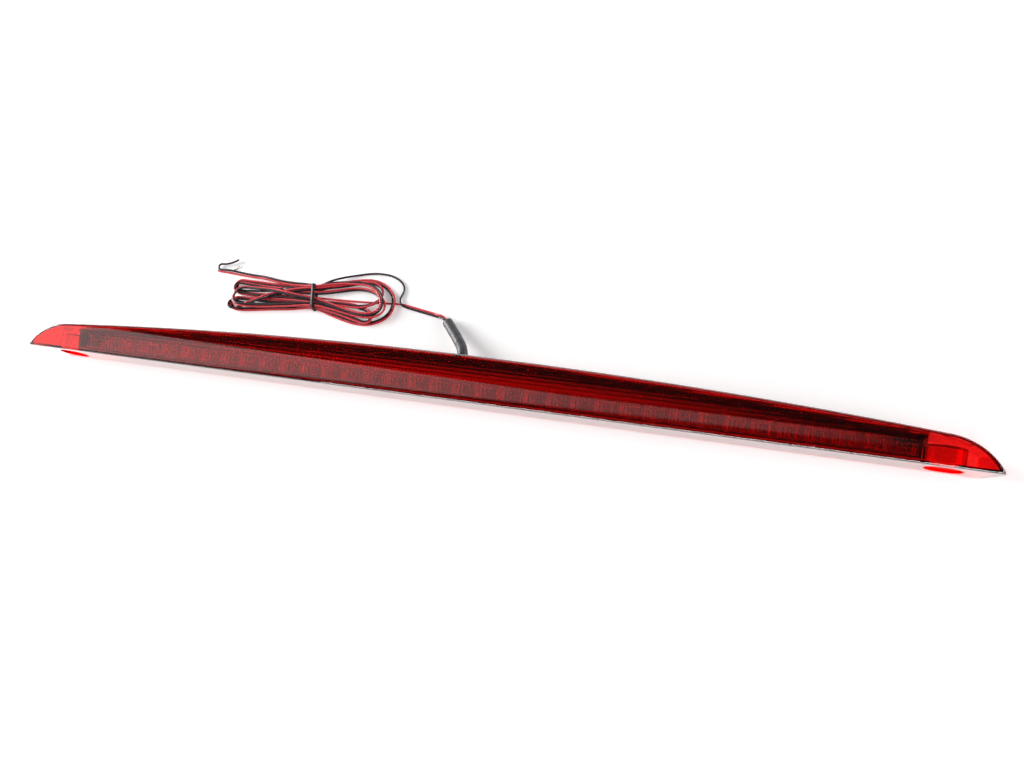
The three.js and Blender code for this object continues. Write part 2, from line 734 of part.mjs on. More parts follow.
const cable = new THREE.Group();
lamp.add(cable);
const outside = new THREE.Group();
outside.position.set(0, UPPER_FACE, 0);
cable.add(outside);

const CORE_SIDES = 8;
const apart = CORE_PITCH / 2;
place("cable_grommet", grommet(), rubber, cable);
place("feed_wire_red", tube(feedRoute(apart), CORE_RADIUS, CORE_SIDES, 9), redPvc, cable);
place("feed_wire_black", tube(feedRoute(-apart), CORE_RADIUS, CORE_SIDES, 9), blackPvc, cable);
place("cable_sleeve", tube(sleeveRoute, SLEEVE_RADIUS, 12, 9), shrinkSleeve, outside);
place("lead_red", tube(beside(leadRoute, -apart), CORE_RADIUS, CORE_SIDES, 11), redPvc, outside);
place("lead_black", tube(beside(leadRoute, apart), CORE_RADIUS, CORE_SIDES, 11), blackPvc, outside);
place("black_core_loop", tube(loopRoute, CORE_RADIUS, CORE_SIDES, 22), blackPvc, outside);
place("cable_hank", cableHank(), hankPvc, outside);
place("cable_tie", cableTie(), tiePvc, outside);
place("tail_red", tube(redTailRoute, CORE_RADIUS, CORE_SIDES, 10), redPvc, outside);
place("tail_black", tube(blackTailRoute, CORE_RADIUS, CORE_SIDES, 24), blackPvc, outside);
place("red_core_strand", tube(strandRoute, STRAND_RADIUS, CORE_SIDES, 12), tinnedWire, outside);

export default lamp;
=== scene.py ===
"""Looks of a long bow-shaped third brake light with a red lens and a tied two-core lead.

Sizes in the classes are millimetres and become metres where a mesh is made. +X runs along the lamp,
+Y towards its bowed edge and +Z is the way its light leaves.
"""

import logging
import math
from dataclasses import dataclass, field
from enum import Enum
from typing import Any, Sequence

import bmesh
import bpy
import numpy as np
from mathutils import Euler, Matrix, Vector


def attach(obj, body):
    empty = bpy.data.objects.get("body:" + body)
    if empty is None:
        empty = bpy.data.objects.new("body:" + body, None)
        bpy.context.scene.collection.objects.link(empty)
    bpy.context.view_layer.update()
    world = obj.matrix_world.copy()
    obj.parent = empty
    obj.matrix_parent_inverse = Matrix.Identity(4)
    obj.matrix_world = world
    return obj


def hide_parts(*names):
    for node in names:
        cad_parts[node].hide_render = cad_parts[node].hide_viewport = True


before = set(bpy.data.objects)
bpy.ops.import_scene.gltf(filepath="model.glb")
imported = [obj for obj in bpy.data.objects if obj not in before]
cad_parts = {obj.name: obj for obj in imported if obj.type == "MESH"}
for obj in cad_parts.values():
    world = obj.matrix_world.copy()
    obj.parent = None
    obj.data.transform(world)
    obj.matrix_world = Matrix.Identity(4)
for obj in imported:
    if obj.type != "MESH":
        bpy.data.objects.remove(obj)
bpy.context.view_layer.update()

LOG = logging.getLogger("brake_light")
MM = 0.001
BODY = "root"

Pair = tuple[float, float]
Point = tuple[float, float, float]
Shape = tuple[np.ndarray, list[list[int]]]


# ---- Colours and nodes ------------------------------------------------------------------------------


def linear(colour: str) -> tuple[float, float, float, float]:
    """Turns an sRGB hex colour into linear values.

    Args:
        colour: Six hex digits, such as "c02030".

    Returns:
        Red, green, blue and alpha, linear.
    """

    def channel(pair: str) -> float:
        value = int(pair, 16) / 255
        return value / 12.92 if value <= 0.04045 else ((value + 0.055) / 1.055) ** 2.4

    return (channel(colour[0:2]), channel(colour[2:4]), channel(colour[4:6]), 1.0)


def feed(tree: bpy.types.NodeTree, node: Any, inputs: dict[Any, Any]) -> None:
    """Sets some of a node's sockets.

    Args:
        tree: The tree that holds the node.
        node: The node.
        inputs: Socket name or number to a value, or to the output socket that feeds it.
    """
    for key, value in inputs.items():
        socket = node.inputs[key.value if isinstance(key, Bsdf) else key]
        if isinstance(value, bpy.types.NodeSocket):
            tree.links.new(value, socket)
        else:
            socket.default_value = value


def add_node(tree: bpy.types.NodeTree, kind: str, inputs: dict[Any, Any] | None = None, **settings: Any) -> Any:
    """Adds a node to a tree, with its settings, socket values and links.

    Args:
        tree: The tree that gets the node.
        kind: The node's type name.
        inputs: Socket name or number to a value, or to the output socket that feeds it.
        settings: Properties of the node.

    Returns:
        The new node.
    """
    node = tree.nodes.new(kind)
    for name, value in settings.items():
        setattr(node, name, value)
    feed(tree, node, inputs or {})
    return node


def math_step(tree: bpy.types.NodeTree, operation: str, *values: Any) -> Any:
    """Adds one Math node for up to three values and gives its result's socket."""
    return add_node(tree, "ShaderNodeMath", dict(enumerate(values)), operation=operation).outputs[0]


def map_range(tree: bpy.types.NodeTree, value: Any, source: Pair, target: Pair, kind: str = "LINEAR") -> Any:
    """Maps a stretch of a value to another stretch.

    Args:
        tree: The tree that gets the node.
        value: The socket that is mapped.
        source: The two ends of the stretch that it is mapped from.
        target: What those ends become.
        kind: The node's interpolation.

    Returns:
        The mapped value's socket.
    """
    ends = {"From Min": source[0], "From Max": source[1], "To Min": target[0], "To Max": target[1]}
    return add_node(tree, "ShaderNodeMapRange", {"Value": value, **ends}, interpolation_type=kind).outputs[0]


def mixed(tree: bpy.types.NodeTree, factor: Any, first: Any, second: Any) -> Any:
    """Mixes two colours, given as sockets or linear values, and gives the mix's socket."""
    return add_node(tree, "ShaderNodeMix", {"Factor": factor, 6: first, 7: second}, data_type="RGBA").outputs[2]


def noise(tree: bpy.types.NodeTree, place: Any, size_mm: float, detail: float = 2.0) -> Any:
    """Adds a noise with patches of about this size and gives its value's socket."""
    inputs = {"Vector": place, "Scale": 1 / (size_mm * MM), "Detail": detail}
    return add_node(tree, "ShaderNodeTexNoise", inputs).outputs["Fac"]


def bumped(tree: bpy.types.NodeTree, height: Any, height_mm: float) -> Any:
    """Adds a relief of this many millimetres and gives its normal's socket."""
    inputs = {"Height": height, "Strength": 1.0, "Distance": height_mm * MM}
    return add_node(tree, "ShaderNodeBump", inputs).outputs["Normal"]


class Bsdf(Enum):
    """Principled sockets that the finishes set."""

    COLOUR = "Base Color"
    ROUGHNESS = "Roughness"
    METALLIC = "Metallic"
    IOR = "IOR"
    NORMAL = "Normal"
    TRANSMISSION = "Transmission Weight"
    COAT = "Coat Weight"


def blank_material(name: str) -> tuple[bpy.types.Material, bpy.types.NodeTree, Any, Any]:
    """Makes a material that holds one Principled shader.

    Args:
        name: The material's name.

    Returns:
        The material, its tree, the shader and the socket of Object coordinates.
    """
    material = bpy.data.materials.new(name)
    material.use_nodes = True
    tree = material.node_tree
    tree.nodes.clear()
    shader = add_node(tree, "ShaderNodeBsdfPrincipled")
    add_node(tree, "ShaderNodeOutputMaterial", {"Surface": shader.outputs[0]})
    return material, tree, shader, add_node(tree, "ShaderNodeTexCoord").outputs["Object"]


def found(tree: bpy.types.NodeTree, kind: str) -> Any:
    """Gives a tree's first node of a type."""
    return next(node for node in tree.nodes if node.bl_idname == kind)


@dataclass(frozen=True)
class Moulded:
    """An opaque moulded, extruded or cured finish: two mixed tones, fine relief and uneven gloss."""

    name: str
    dark: str
    light: str
    roughness: float = 0.4
    gloss_spread: float = 0.1
    metallic: float = 0.0
    patch_mm: float = 14.0
    grain_mm: float = 0.6
    relief_mm: float = 0.02
    coat: float = 0.0

    def make(self) -> bpy.types.Material:
        """Builds the node material.

        Returns:
            The material.
        """
        material, tree, shader, place = blank_material(self.name)
        patches = noise(tree, place, self.patch_mm, 3.0)
        glossiest = max(self.roughness - self.gloss_spread, 0.02)
        gloss = (glossiest, self.roughness + self.gloss_spread)
        inputs = {
            Bsdf.COLOUR: mixed(tree, patches, linear(self.dark), linear(self.light)),
            Bsdf.ROUGHNESS: map_range(tree, patches, (0.3, 0.7), gloss),
            Bsdf.NORMAL: bumped(tree, noise(tree, place, self.grain_mm), self.relief_mm),
            Bsdf.METALLIC: self.metallic,
            Bsdf.COAT: self.coat,
        }
        feed(tree, shader, inputs)
        return material


@dataclass(frozen=True)
class RedAcrylic:
    """Polished red acrylic, injection moulded and hard-coated: deep clear red, with a mirror-like front.

    Its colour is in its depth: a wall's thickness passes most of the red and hardly any green or blue,
    and a long way through it goes dark. The inside of the front carries pillow optics, a lattice of small
    cushions that breaks up what lies behind. Shadow rays pass its surfaces, so the inside is lit.
    """

    name: str = "red_acrylic"
    passed: str = "fa0000"
    density: float = 1300.0
    roughness: float = 0.03
    ior: float = 1.49
    pillow_mm: float = 3.3
    pillow_height_mm: float = 0.16
    pillow_end_mm: float = 370.0
    crown_radius_mm: float = 52.0
    crown_axis_mm: float = -14.0
    wall_mm: float = 2.8

    def make(self) -> bpy.types.Material:
        """Builds the node material.

        Returns:
            The material.
        """
        material, tree, shader, place = blank_material(self.name)
        split = add_node(tree, "ShaderNodeSeparateXYZ", {"Vector": place}).outputs
        turns = 2 * math.pi / (self.pillow_mm * MM)
        waves = [math_step(tree, "COSINE", math_step(tree, "MULTIPLY", split[axis], turns)) for axis in "XY"]
        # Distance from the crown's axis tells the front's inner skin from its outer one.
        height = math_step(tree, "SUBTRACT", split["Z"], self.crown_axis_mm * MM)
        squares = [math_step(tree, "POWER", socket, 2.0) for socket in (split["Y"], height)]
        reach = math_step(tree, "SQRT", math_step(tree, "ADD", *squares))
        inner = (self.crown_radius_mm - self.wall_mm) * MM
        skin = math_step(tree, "COMPARE", reach, inner, 0.25 * self.wall_mm * MM)
        # The tips are left clear.
        lit = math_step(tree, "LESS_THAN", math_step(tree, "ABSOLUTE", split["X"]), self.pillow_end_mm * MM)
        patterned = math_step(tree, "MULTIPLY", skin, lit)
        pillow = math_step(tree, "MULTIPLY", math_step(tree, "ADD", *waves), patterned)
        inputs = {
            Bsdf.COLOUR: linear("ffffff"),
            Bsdf.ROUGHNESS: self.roughness,
            Bsdf.IOR: self.ior,
            Bsdf.TRANSMISSION: 1.0,
            Bsdf.COAT: 1.0,
            Bsdf.NORMAL: bumped(tree, pillow, self.pillow_height_mm),
        }
        feed(tree, shader, inputs)
        clear = add_node(tree, "ShaderNodeBsdfTransparent", {"Color": linear("ffffff")}).outputs[0]
        shadow = add_node(tree, "ShaderNodeLightPath").outputs["Is Shadow Ray"]
        surface = add_node(tree, "ShaderNodeMixShader", {0: shadow, 1: shader.outputs[0], 2: clear})
        depth = add_node(tree, "ShaderNodeVolumeAbsorption", {"Color": linear(self.passed), "Density": self.density})
        ends = {"Surface": surface.outputs[0], "Volume": depth.outputs["Volume"]}
        feed(tree, found(tree, "ShaderNodeOutputMaterial"), ends)
        return material


@dataclass(frozen=True)
class Metallised:
    """ABS with a vacuum-metallised face: bright aluminium, slightly hazy, on the cells and the trough.

    The rim along the bow and the ribs between the cells aren't plated and stay dark, so that they show
    as a black border and as bars. Towards the rim, the trough is darkened with painted shade.
    """

    name: str = "abs_metallised"
    dark: str = "dcd2d2"
    light: str = "faf4f4"
    shaded: str = "5a4e4e"
    bare: str = "0d0b0b"
    rib: str = "7a6a6a"
    roughness: float = 0.34
    metallic: float = 0.3
    haze_mm: float = 4.0
    arch_radius_mm: float = 4750.78
    arch_y_mm: float = -4730.78
    rim_inset_mm: float = 9.2
    shade_mm: float = 9.0
    shade: Pair = (0.35, 0.9)
    block_edge_mm: float = -0.6
    rib_top_mm: float = 23.6

    def make(self) -> bpy.types.Material:
        """Builds the node material.

        Returns:
            The material.
        """
        material, tree, shader, place = blank_material(self.name)
        split = add_node(tree, "ShaderNodeSeparateXYZ", {"Vector": place}).outputs
        flat = add_node(tree, "ShaderNodeCombineXYZ", {"X": split["X"], "Y": split["Y"]}).outputs[0]
        centre = (0.0, self.arch_y_mm * MM, 0.0)
        reach = add_node(tree, "ShaderNodeVectorMath", {0: flat, 1: centre}, operation="DISTANCE").outputs["Value"]
        edge = (self.arch_radius_mm - self.rim_inset_mm) * MM
        rim = math_step(tree, "GREATER_THAN", reach, edge)
        # Painted shade: over shade_mm, the trough's tone darkens towards the 'shaded' colour as it nears the rim along
        # the bow.
        shade = map_range(tree, reach, (edge - self.shade_mm * MM, edge), self.shade)
        trough = math_step(tree, "GREATER_THAN", split["Y"], self.block_edge_mm * MM)
        shading = math_step(tree, "MULTIPLY", shade, trough)
        ribs = math_step(tree, "GREATER_THAN", split["Z"], self.rib_top_mm * MM)
        colour = mixed(tree, noise(tree, place, self.haze_mm, 3.0), linear(self.dark), linear(self.light))
        for part, over in ((shading, self.shaded), (ribs, self.rib), (rim, self.bare)):
            colour = mixed(tree, part, colour, linear(over))
        plated = math_step(tree, "MULTIPLY_ADD", rim, -self.metallic, self.metallic)
        feed(tree, shader, {Bsdf.COLOUR: colour, Bsdf.METALLIC: plated, Bsdf.ROUGHNESS: self.roughness})
        return material


@dataclass(frozen=True)
class TintedEpoxy:
    """Red tinted epoxy, cast: the glassy dome of an LED, cloudy with the chip's cup inside."""

    name: str = "led_epoxy"
    tint: str = "e8343a"
    cloud: str = "f09090"
    cloud_mm: float = 2.0
    roughness: float = 0.08
    ior: float = 1.53

    def make(self) -> bpy.types.Material:
        """Builds the node material.

        Returns:
            The material.
        """
        material, tree, shader, place = blank_material(self.name)
        colour = mixed(tree, noise(tree, place, self.cloud_mm), linear(self.tint), linear(self.cloud))
        inputs = {Bsdf.COLOUR: colour, Bsdf.ROUGHNESS: self.roughness, Bsdf.IOR: self.ior, Bsdf.COAT: 1.0}
        feed(tree, shader, inputs)
        return material


class Stuff(Enum):
    """The finishes of the lamp and its lead, by the record's material slot."""

    LENS = ("red_lens", RedAcrylic())
    TRAY = ("black_abs", Moulded("abs_moulded_black", "0b0a0a", "151313", 0.42, relief_mm=0.03))
    SEALANT = ("sealant", Moulded("butyl_sealant_black", "0c0c0c", "1b1a1a", 0.6, grain_mm=1.5, relief_mm=0.15))
    REFLECTOR = ("reflector_plastic", Metallised())
    BOARD = ("circuit_board", Moulded("solder_resist_white", "d4d6cc", "e4e6dd", 0.35, patch_mm=9.0))
    TINNED = ("tinned_copper", Moulded("copper_tinned", "9b968c", "c9c5bb", 0.3, metallic=1.0, patch_mm=2.0))
    LED = ("led_epoxy", TintedEpoxy())
    RUBBER = ("rubber", Moulded("epdm_rubber_moulded", "101010", "1c1c1c", 0.65, grain_mm=0.4))
    SLEEVE = (
        "shrink_sleeve",
        Moulded("polyolefin_shrunk", "3c3c40", "5c5c60", 0.42, 0.12, patch_mm=3.0, grain_mm=0.9, relief_mm=0.06),
    )
    RED_PVC = ("red_pvc", Moulded("pvc_extruded_red", "d43642", "e34e58", 0.34, 0.08, patch_mm=8.0, coat=0.2))
    BLACK_PVC = ("black_pvc", Moulded("pvc_extruded_black", "22161a", "32222a", 0.34, 0.08, patch_mm=8.0, coat=0.2))
    TIE = ("tie_pvc", Moulded("pvc_tie_olive_black", "1d1c17", "35332a", 0.5, patch_mm=2.0, relief_mm=0.08))

    @property
    def slot(self) -> str:
        """The record's material slot."""
        return self.value[0]

    @property
    def finish(self) -> Any:
        """The finish that this stuff is made with."""
        return self.value[1]


class Finishes:
    """Makes each material once and finishes pieces with it."""

    def __init__(self) -> None:
        """Starts with nothing made."""
        self.made: dict[Stuff, bpy.types.Material] = {}

    def material(self, stuff: Stuff) -> bpy.types.Material:
        """Gives the material of a stuff, built on first use."""
        if stuff not in self.made:
            self.made[stuff] = stuff.finish.make()
        return self.made[stuff]

    def coat(self, piece: bpy.types.Object, stuff: Stuff) -> None:
        """Puts one stuff all over a piece."""
        piece.data.materials.clear()
        piece.data.materials.append(self.material(stuff))

    def finish(self, piece: bpy.types.Object, stuff: Stuff, *nodes: str) -> bpy.types.Object:
        """Coats a new piece and lets it ride on the lamp's one body.

        Args:
            piece: A mesh or curve object.
            stuff: What it is made of.
            nodes: CAD nodes that it replaces.

        Returns:
            The same piece.
        """
        self.coat(piece, stuff)
        if nodes:
            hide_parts(*nodes)
        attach(piece, BODY)
        return piece


# ---- Meshes -----------------------------------------------------------------------------------------


def mesh_object(name: str, points: np.ndarray, faces: Sequence[Sequence[int]], smooth_degrees: float = 35.0) -> Any:
    """Makes a mesh object from millimetres, with smooth faces and sharp edges above an angle.

    Args:
        name: The object's name.
        points: Vertices in millimetres, one row each.
        faces: Vertex numbers of each face; they are turned to face out.
        smooth_degrees: Edges that fold by more than this stay sharp.

    Returns:
        The object, linked to the scene.
    """
    mesh = bpy.data.meshes.new(name)
    mesh.from_pydata((np.asarray(points) * MM).tolist(), [], [list(map(int, face)) for face in faces])
    shell = bmesh.new()
    shell.from_mesh(mesh)
    bmesh.ops.recalc_face_normals(shell, faces=shell.faces)
    shell.to_mesh(mesh)
    shell.free()
    mesh.shade_smooth()
    mesh.set_sharp_from_angle(angle=math.radians(smooth_degrees))
    mesh.update()
    return linked(name, mesh)


def linked(name: str, data: Any) -> bpy.types.Object:
    """Makes an object of some data and links it to the scene."""
    made = bpy.data.objects.new(name, data)
    bpy.context.scene.collection.objects.link(made)
    return made


def full_turn(sides: int) -> np.ndarray:
    """Angles of a full turn in even steps."""
    return np.linspace(0, 2 * math.pi, sides, endpoint=False)


def ring_faces(rings: int, sides: int, capped: bool = True) -> list[list[int]]:
    """Faces between successive closed rings of the same number of points.

    Args:
        rings: How many rings.
        sides: Points in each.
        capped: Whether the first and the last ring are filled.

    Returns:
        Faces as lists of vertex numbers.
    """
    faces = []
    for i in range(rings - 1):
        for j in range(sides):
            k = (j + 1) % sides
            faces.append([i * sides + j, (i + 1) * sides + j, (i + 1) * sides + k, i * sides + k])
    if capped:
        last = (rings - 1) * sides
        faces += [list(range(sides)), [last + j for j in range(sides)]]
    return faces


def closed_faces(rings: int, sides: int) -> list[list[int]]:
    """Faces between rings whose last one joins the first."""
    return [[i % (rings * sides) for i in face] for face in ring_faces(rings + 1, sides, False)]


def smooth_line(points: Sequence[Point], step: float) -> np.ndarray:
    """A smooth curve through points, sampled at an even step.

    Args:
        points: The points that it passes.
        step: Distance between samples, about, in the points' own unit.

    Returns:
        Samples, one row each, from the first point to the last.
    """
    p = np.asarray(points, float)
    ends = np.vstack([2 * p[0] - p[1], p, 2 * p[-1] - p[-2]])
    t = np.linspace(0, 1, 24, endpoint=False)[:, None]
    parts = []
    for a, b, c, d in zip(ends[:-3], ends[1:-2], ends[2:-1], ends[3:]):
        parts.append(0.5 * (2 * b + (c - a) * t + (2 * a - 5 * b + 4 * c - d) * t**2 + (3 * b - a - 3 * c + d) * t**3))
    return even(np.vstack([*parts, p[-1:]]), step)


def even(line: np.ndarray, step: float) -> np.ndarray:
    """Samples a line again at an even step.

    Args:
        line: Points along it.
        step: Distance between the new points, about.

    Returns:
        The new points, with the same two ends.
    """
    run = np.concatenate([[0], np.cumsum(np.linalg.norm(np.diff(line, axis=0), axis=1))])
    places = np.linspace(0, run[-1], max(int(round(run[-1] / step)), 2) + 1)
    return np.stack([np.interp(places, run, line[:, k]) for k in range(3)], axis=1)


def frames_along(line: np.ndarray) -> tuple[np.ndarray, np.ndarray]:
    """Directions across a line that don't spin about it.

    Args:
        line: Points along it, nowhere upright.

    Returns:
        Sideways and upwards unit vectors at each point.
    """
    along = np.gradient(line, axis=0)
    along /= np.linalg.norm(along, axis=1, keepdims=True)
    side = np.cross([0.0, 0.0, 1.0], along)
    side /= np.linalg.norm(side, axis=1, keepdims=True)
    return side, np.cross(along, side)


# ---- The lamp's bow ---------------------------------------------------------------------------------


@dataclass(frozen=True)
class Bow:
    """The lens's outer form, and the same form drawn in by a wall's thickness."""

    half_length: float = 430.0
    half_height: float = 20.0
    edge_depth: float = 34.0
    crown: float = 4.0
    fall: float = 19.5
    tip_radius: float = 52.0
    tip_blunt: float = 1.6
    undercut: float = 16.0
    undercut_depth: float = 28.0
    shoulder: float = 2.6
    front_edge: float = 1.5
    least: float = 0.4
    rounded_share: float = 0.85
    wall_share: float = 0.9

    @property
    def arch_radius(self) -> float:
        """Radius of the long arc."""
        return (self.half_length**2 + self.fall**2) / (2 * self.fall)

    @property
    def crown_radius(self) -> float:
        """Radius of the front's crown."""
        return (self.half_height**2 + self.crown**2) / (2 * self.crown)

    @property
    def crown_axis(self) -> float:
        """Height of the crown's axis."""
        return self.edge_depth + self.crown - self.crown_radius

    def tip_centre(self) -> Pair:
        """Centre of the right tip's arc, inside tangent to the long arc."""
        arch = np.array([0.0, self.half_height - self.arch_radius])
        tip = np.array([self.half_length, -self.half_height + self.tip_blunt])
        span = float(np.linalg.norm(tip - arch))
        reach = self.arch_radius - self.tip_radius
        along = (reach**2 - self.tip_radius**2 + span**2) / (2 * span)
        aside = math.sqrt(reach**2 - along**2)
        way = (tip - arch) / span
        centre = arch + way * along + np.array([-way[1], way[0]]) * aside
        return float(centre[0]), float(centre[1])

    def upper(self, x: float, inset: float) -> Pair:
        """The bow's upper edge at a place along the lamp.

        Args:
            x: The place.
            inset: How far the form is drawn in.

        Returns:
            The edge's height across the lamp, and the share of its normal that points across.
        """
        cx, cy = self.tip_centre()
        arch_y = self.half_height - self.arch_radius
        joint = math.atan2(cy - arch_y, cx)
        radius = self.arch_radius - inset
        x = abs(x)
        if x <= radius * math.cos(joint):
            rise = math.sqrt(radius**2 - x**2)
            return arch_y + rise, rise / radius
        radius = self.tip_radius - inset
        rise = math.sqrt(max(radius**2 - (x - cx) ** 2, 0.0))
        return cy + rise, rise / radius

    def stations(self, inset: float) -> np.ndarray:
        """Places along the lamp for cross-sections: close together where the tips curve.

        Args:
            inset: How far the form is drawn in.

        Returns:
            Places from the left tip to the right one.
        """
        cx, cy = self.tip_centre()
        radius = self.tip_radius - inset
        lowest = -self.half_height + inset
        edge = lowest + (self.tip_blunt if inset == 0 else self.least)
        end = math.asin((edge - cy) / radius)
        joint = math.atan2(cy - self.half_height + self.arch_radius, cx)
        tip = cx + radius * np.cos(np.linspace(end, joint, 22))
        foot = self.foot(inset)
        middle = np.linspace(0, tip[-1], 30)[:-1]
        half = np.unique(np.round(np.concatenate([middle, tip, [foot]]), 5))
        half = half[np.concatenate([[True], np.diff(half) > 0.05])]
        return np.concatenate([-half[:0:-1], half])

    def foot(self, inset: float) -> float:
        """Where the slanting end meets the back plane."""
        slope = self.undercut / self.undercut_depth
        return self.half_length - self.undercut - inset * math.sqrt(1 + slope**2)

    def section(self, x: float, inset: float, back: float) -> np.ndarray:
        """One cross-section, from the lower back corner over the front to the upper back corner.

        Args:
            x: Its place along the lamp.
            inset: How far the form is drawn in.
            back: Height of the back where the end doesn't slant.

        Returns:
            Points, one row each.
        """
        low = -self.half_height + inset
        top, across = self.upper(x, inset)
        slope = self.undercut / self.undercut_depth
        floor = max(back, (abs(x) - self.foot(inset)) / slope)
        edge = max(self.front_edge - inset, self.least)
        shoulder = self.shoulder - inset
        width = top - low
        near_low = np.array([0, 0.04, 0.16, 0.36, 0.66, 1.0]) * edge
        near_top = np.array([0, 0.03, 0.12, 0.27, 0.48, 0.73, 1.0]) * shoulder / max(across, 0.25)
        used, room = near_low[-1] + near_top[-1], self.rounded_share * width
        if used > room:
            near_low, near_top = near_low * room / used, near_top * room / used
        middle = np.linspace(low + near_low[-1], top - near_top[-1], 15)[1:-1]
        y = np.concatenate([low + near_low, middle, (top - near_top)[::-1]])
        crown = self.crown_axis + np.sqrt((self.crown_radius - inset) ** 2 - y**2)
        z = crown - self.drop(y - low, edge) - self.drop((top - y) * across, shoulder)
        front = np.stack([np.full_like(y, x), y, z], axis=1)
        wall_low = [[x, low, floor], [x, low, floor + self.wall_share * (z[0] - floor)]]
        wall_top = [[x, top, floor + self.wall_share * (z[-1] - floor)], [x, top, floor]]
        return np.vstack([wall_low, front, wall_top])

    @staticmethod
    def drop(distance: np.ndarray, radius: float) -> np.ndarray:
        """How far a rounded edge falls below the face at a distance from the edge."""
        inside = np.clip(distance, 0, radius)
        return radius - np.sqrt(np.maximum(radius**2 - (radius - inside) ** 2, 0))

    def body(self, name: str, inset: float, back: float) -> bpy.types.Object:
        """The closed form.

        Args:
            name: The object's name.
            inset: How far it is drawn in.
            back: Height of its back.

        Returns:
            The object.
        """
        sections = [self.section(x, inset, back) for x in self.stations(inset)]
        return mesh_object(name, np.vstack(sections), ring_faces(len(sections), len(sections[0])))


def obround_prism(name: str, centre: Point, length: float, width: float, low: float, high: float) -> Any:
    """A closed obround prism along Y.

    Args:
        name: The object's name.
        centre: Its axis's place; the Y value isn't used.
        length: Along X.
        width: Along Z.
        low: Its lower end in Y.
        high: Its upper end.

    Returns:
        The object.
    """
    half_turn = np.radians(np.linspace(-90, 90, 20))
    angle = np.concatenate([half_turn, half_turn + math.pi])
    shift = np.repeat([1, -1], len(half_turn)) * (length - width) / 2
    x = centre[0] + shift + width / 2 * np.cos(angle)
    z = centre[2] + width / 2 * np.sin(angle)
    ends = [np.column_stack([x, np.full_like(x, y), z]) for y in (low, high)]
    return mesh_object(name, np.vstack(ends), ring_faces(2, len(x)))


# ---- Geometry Nodes ---------------------------------------------------------------------------------


@dataclass
class Recipe:
    """A Geometry Nodes tree that is built, run once on an empty mesh and turned into a plain mesh."""

    name: str
    tree: bpy.types.GeometryNodeTree = field(init=False)
    sockets: dict[str, str] = field(init=False, default_factory=dict)

    def __post_init__(self) -> None:
        """Starts the tree with its output."""
        self.tree = bpy.data.node_groups.new(self.name, "GeometryNodeTree")
        self.tree.interface.new_socket("Geometry", in_out="OUTPUT", socket_type="NodeSocketGeometry")
        self.inputs = self.tree.nodes.new("NodeGroupInput")

    def ask(self, name: str, kind: str) -> Any:
        """Adds a named input.

        Args:
            name: What the input is called.
            kind: Its socket type.

        Returns:
            The socket that gives its value inside the tree.
        """
        item = self.tree.interface.new_socket(name, in_out="INPUT", socket_type=kind)
        self.sockets[name] = item.identifier
        return next(s for s in self.inputs.outputs if s.identifier == item.identifier)

    def end(self, geometry: Any, material: Any) -> None:
        """Ends the tree in Realize Instances and Set Material."""
        real = add_node(self.tree, "GeometryNodeRealizeInstances", {"Geometry": geometry}).outputs[0]
        painted = add_node(self.tree, "GeometryNodeSetMaterial", {"Geometry": real, "Material": material})
        add_node(self.tree, "NodeGroupOutput", {0: painted.outputs[0]})

    def bake(self, values: dict[str, Any], helpers: Sequence[bpy.types.Object] = ()) -> bpy.types.Object:
        """Runs the tree with these values and keeps the result as a plain mesh.

        Args:
            values: Input name to value.
            helpers: Objects that only feed the tree, removed afterwards.

        Returns:
            The new object, linked to the scene.
        """
        holder = linked(self.name, bpy.data.meshes.new(self.name + "_start"))
        modifier = holder.modifiers.new(self.name, "NODES")
        modifier.node_group = self.tree
        for name, value in values.items():
            modifier[self.sockets[name]] = value
        graph = bpy.context.evaluated_depsgraph_get()
        mesh = bpy.data.meshes.new_from_object(holder.evaluated_get(graph), depsgraph=graph)
        mesh.name = self.name
        for used in (holder, *helpers):
            bpy.data.objects.remove(used)
        return linked(self.name, mesh)


# ---- Lens -------------------------------------------------------------------------------------------


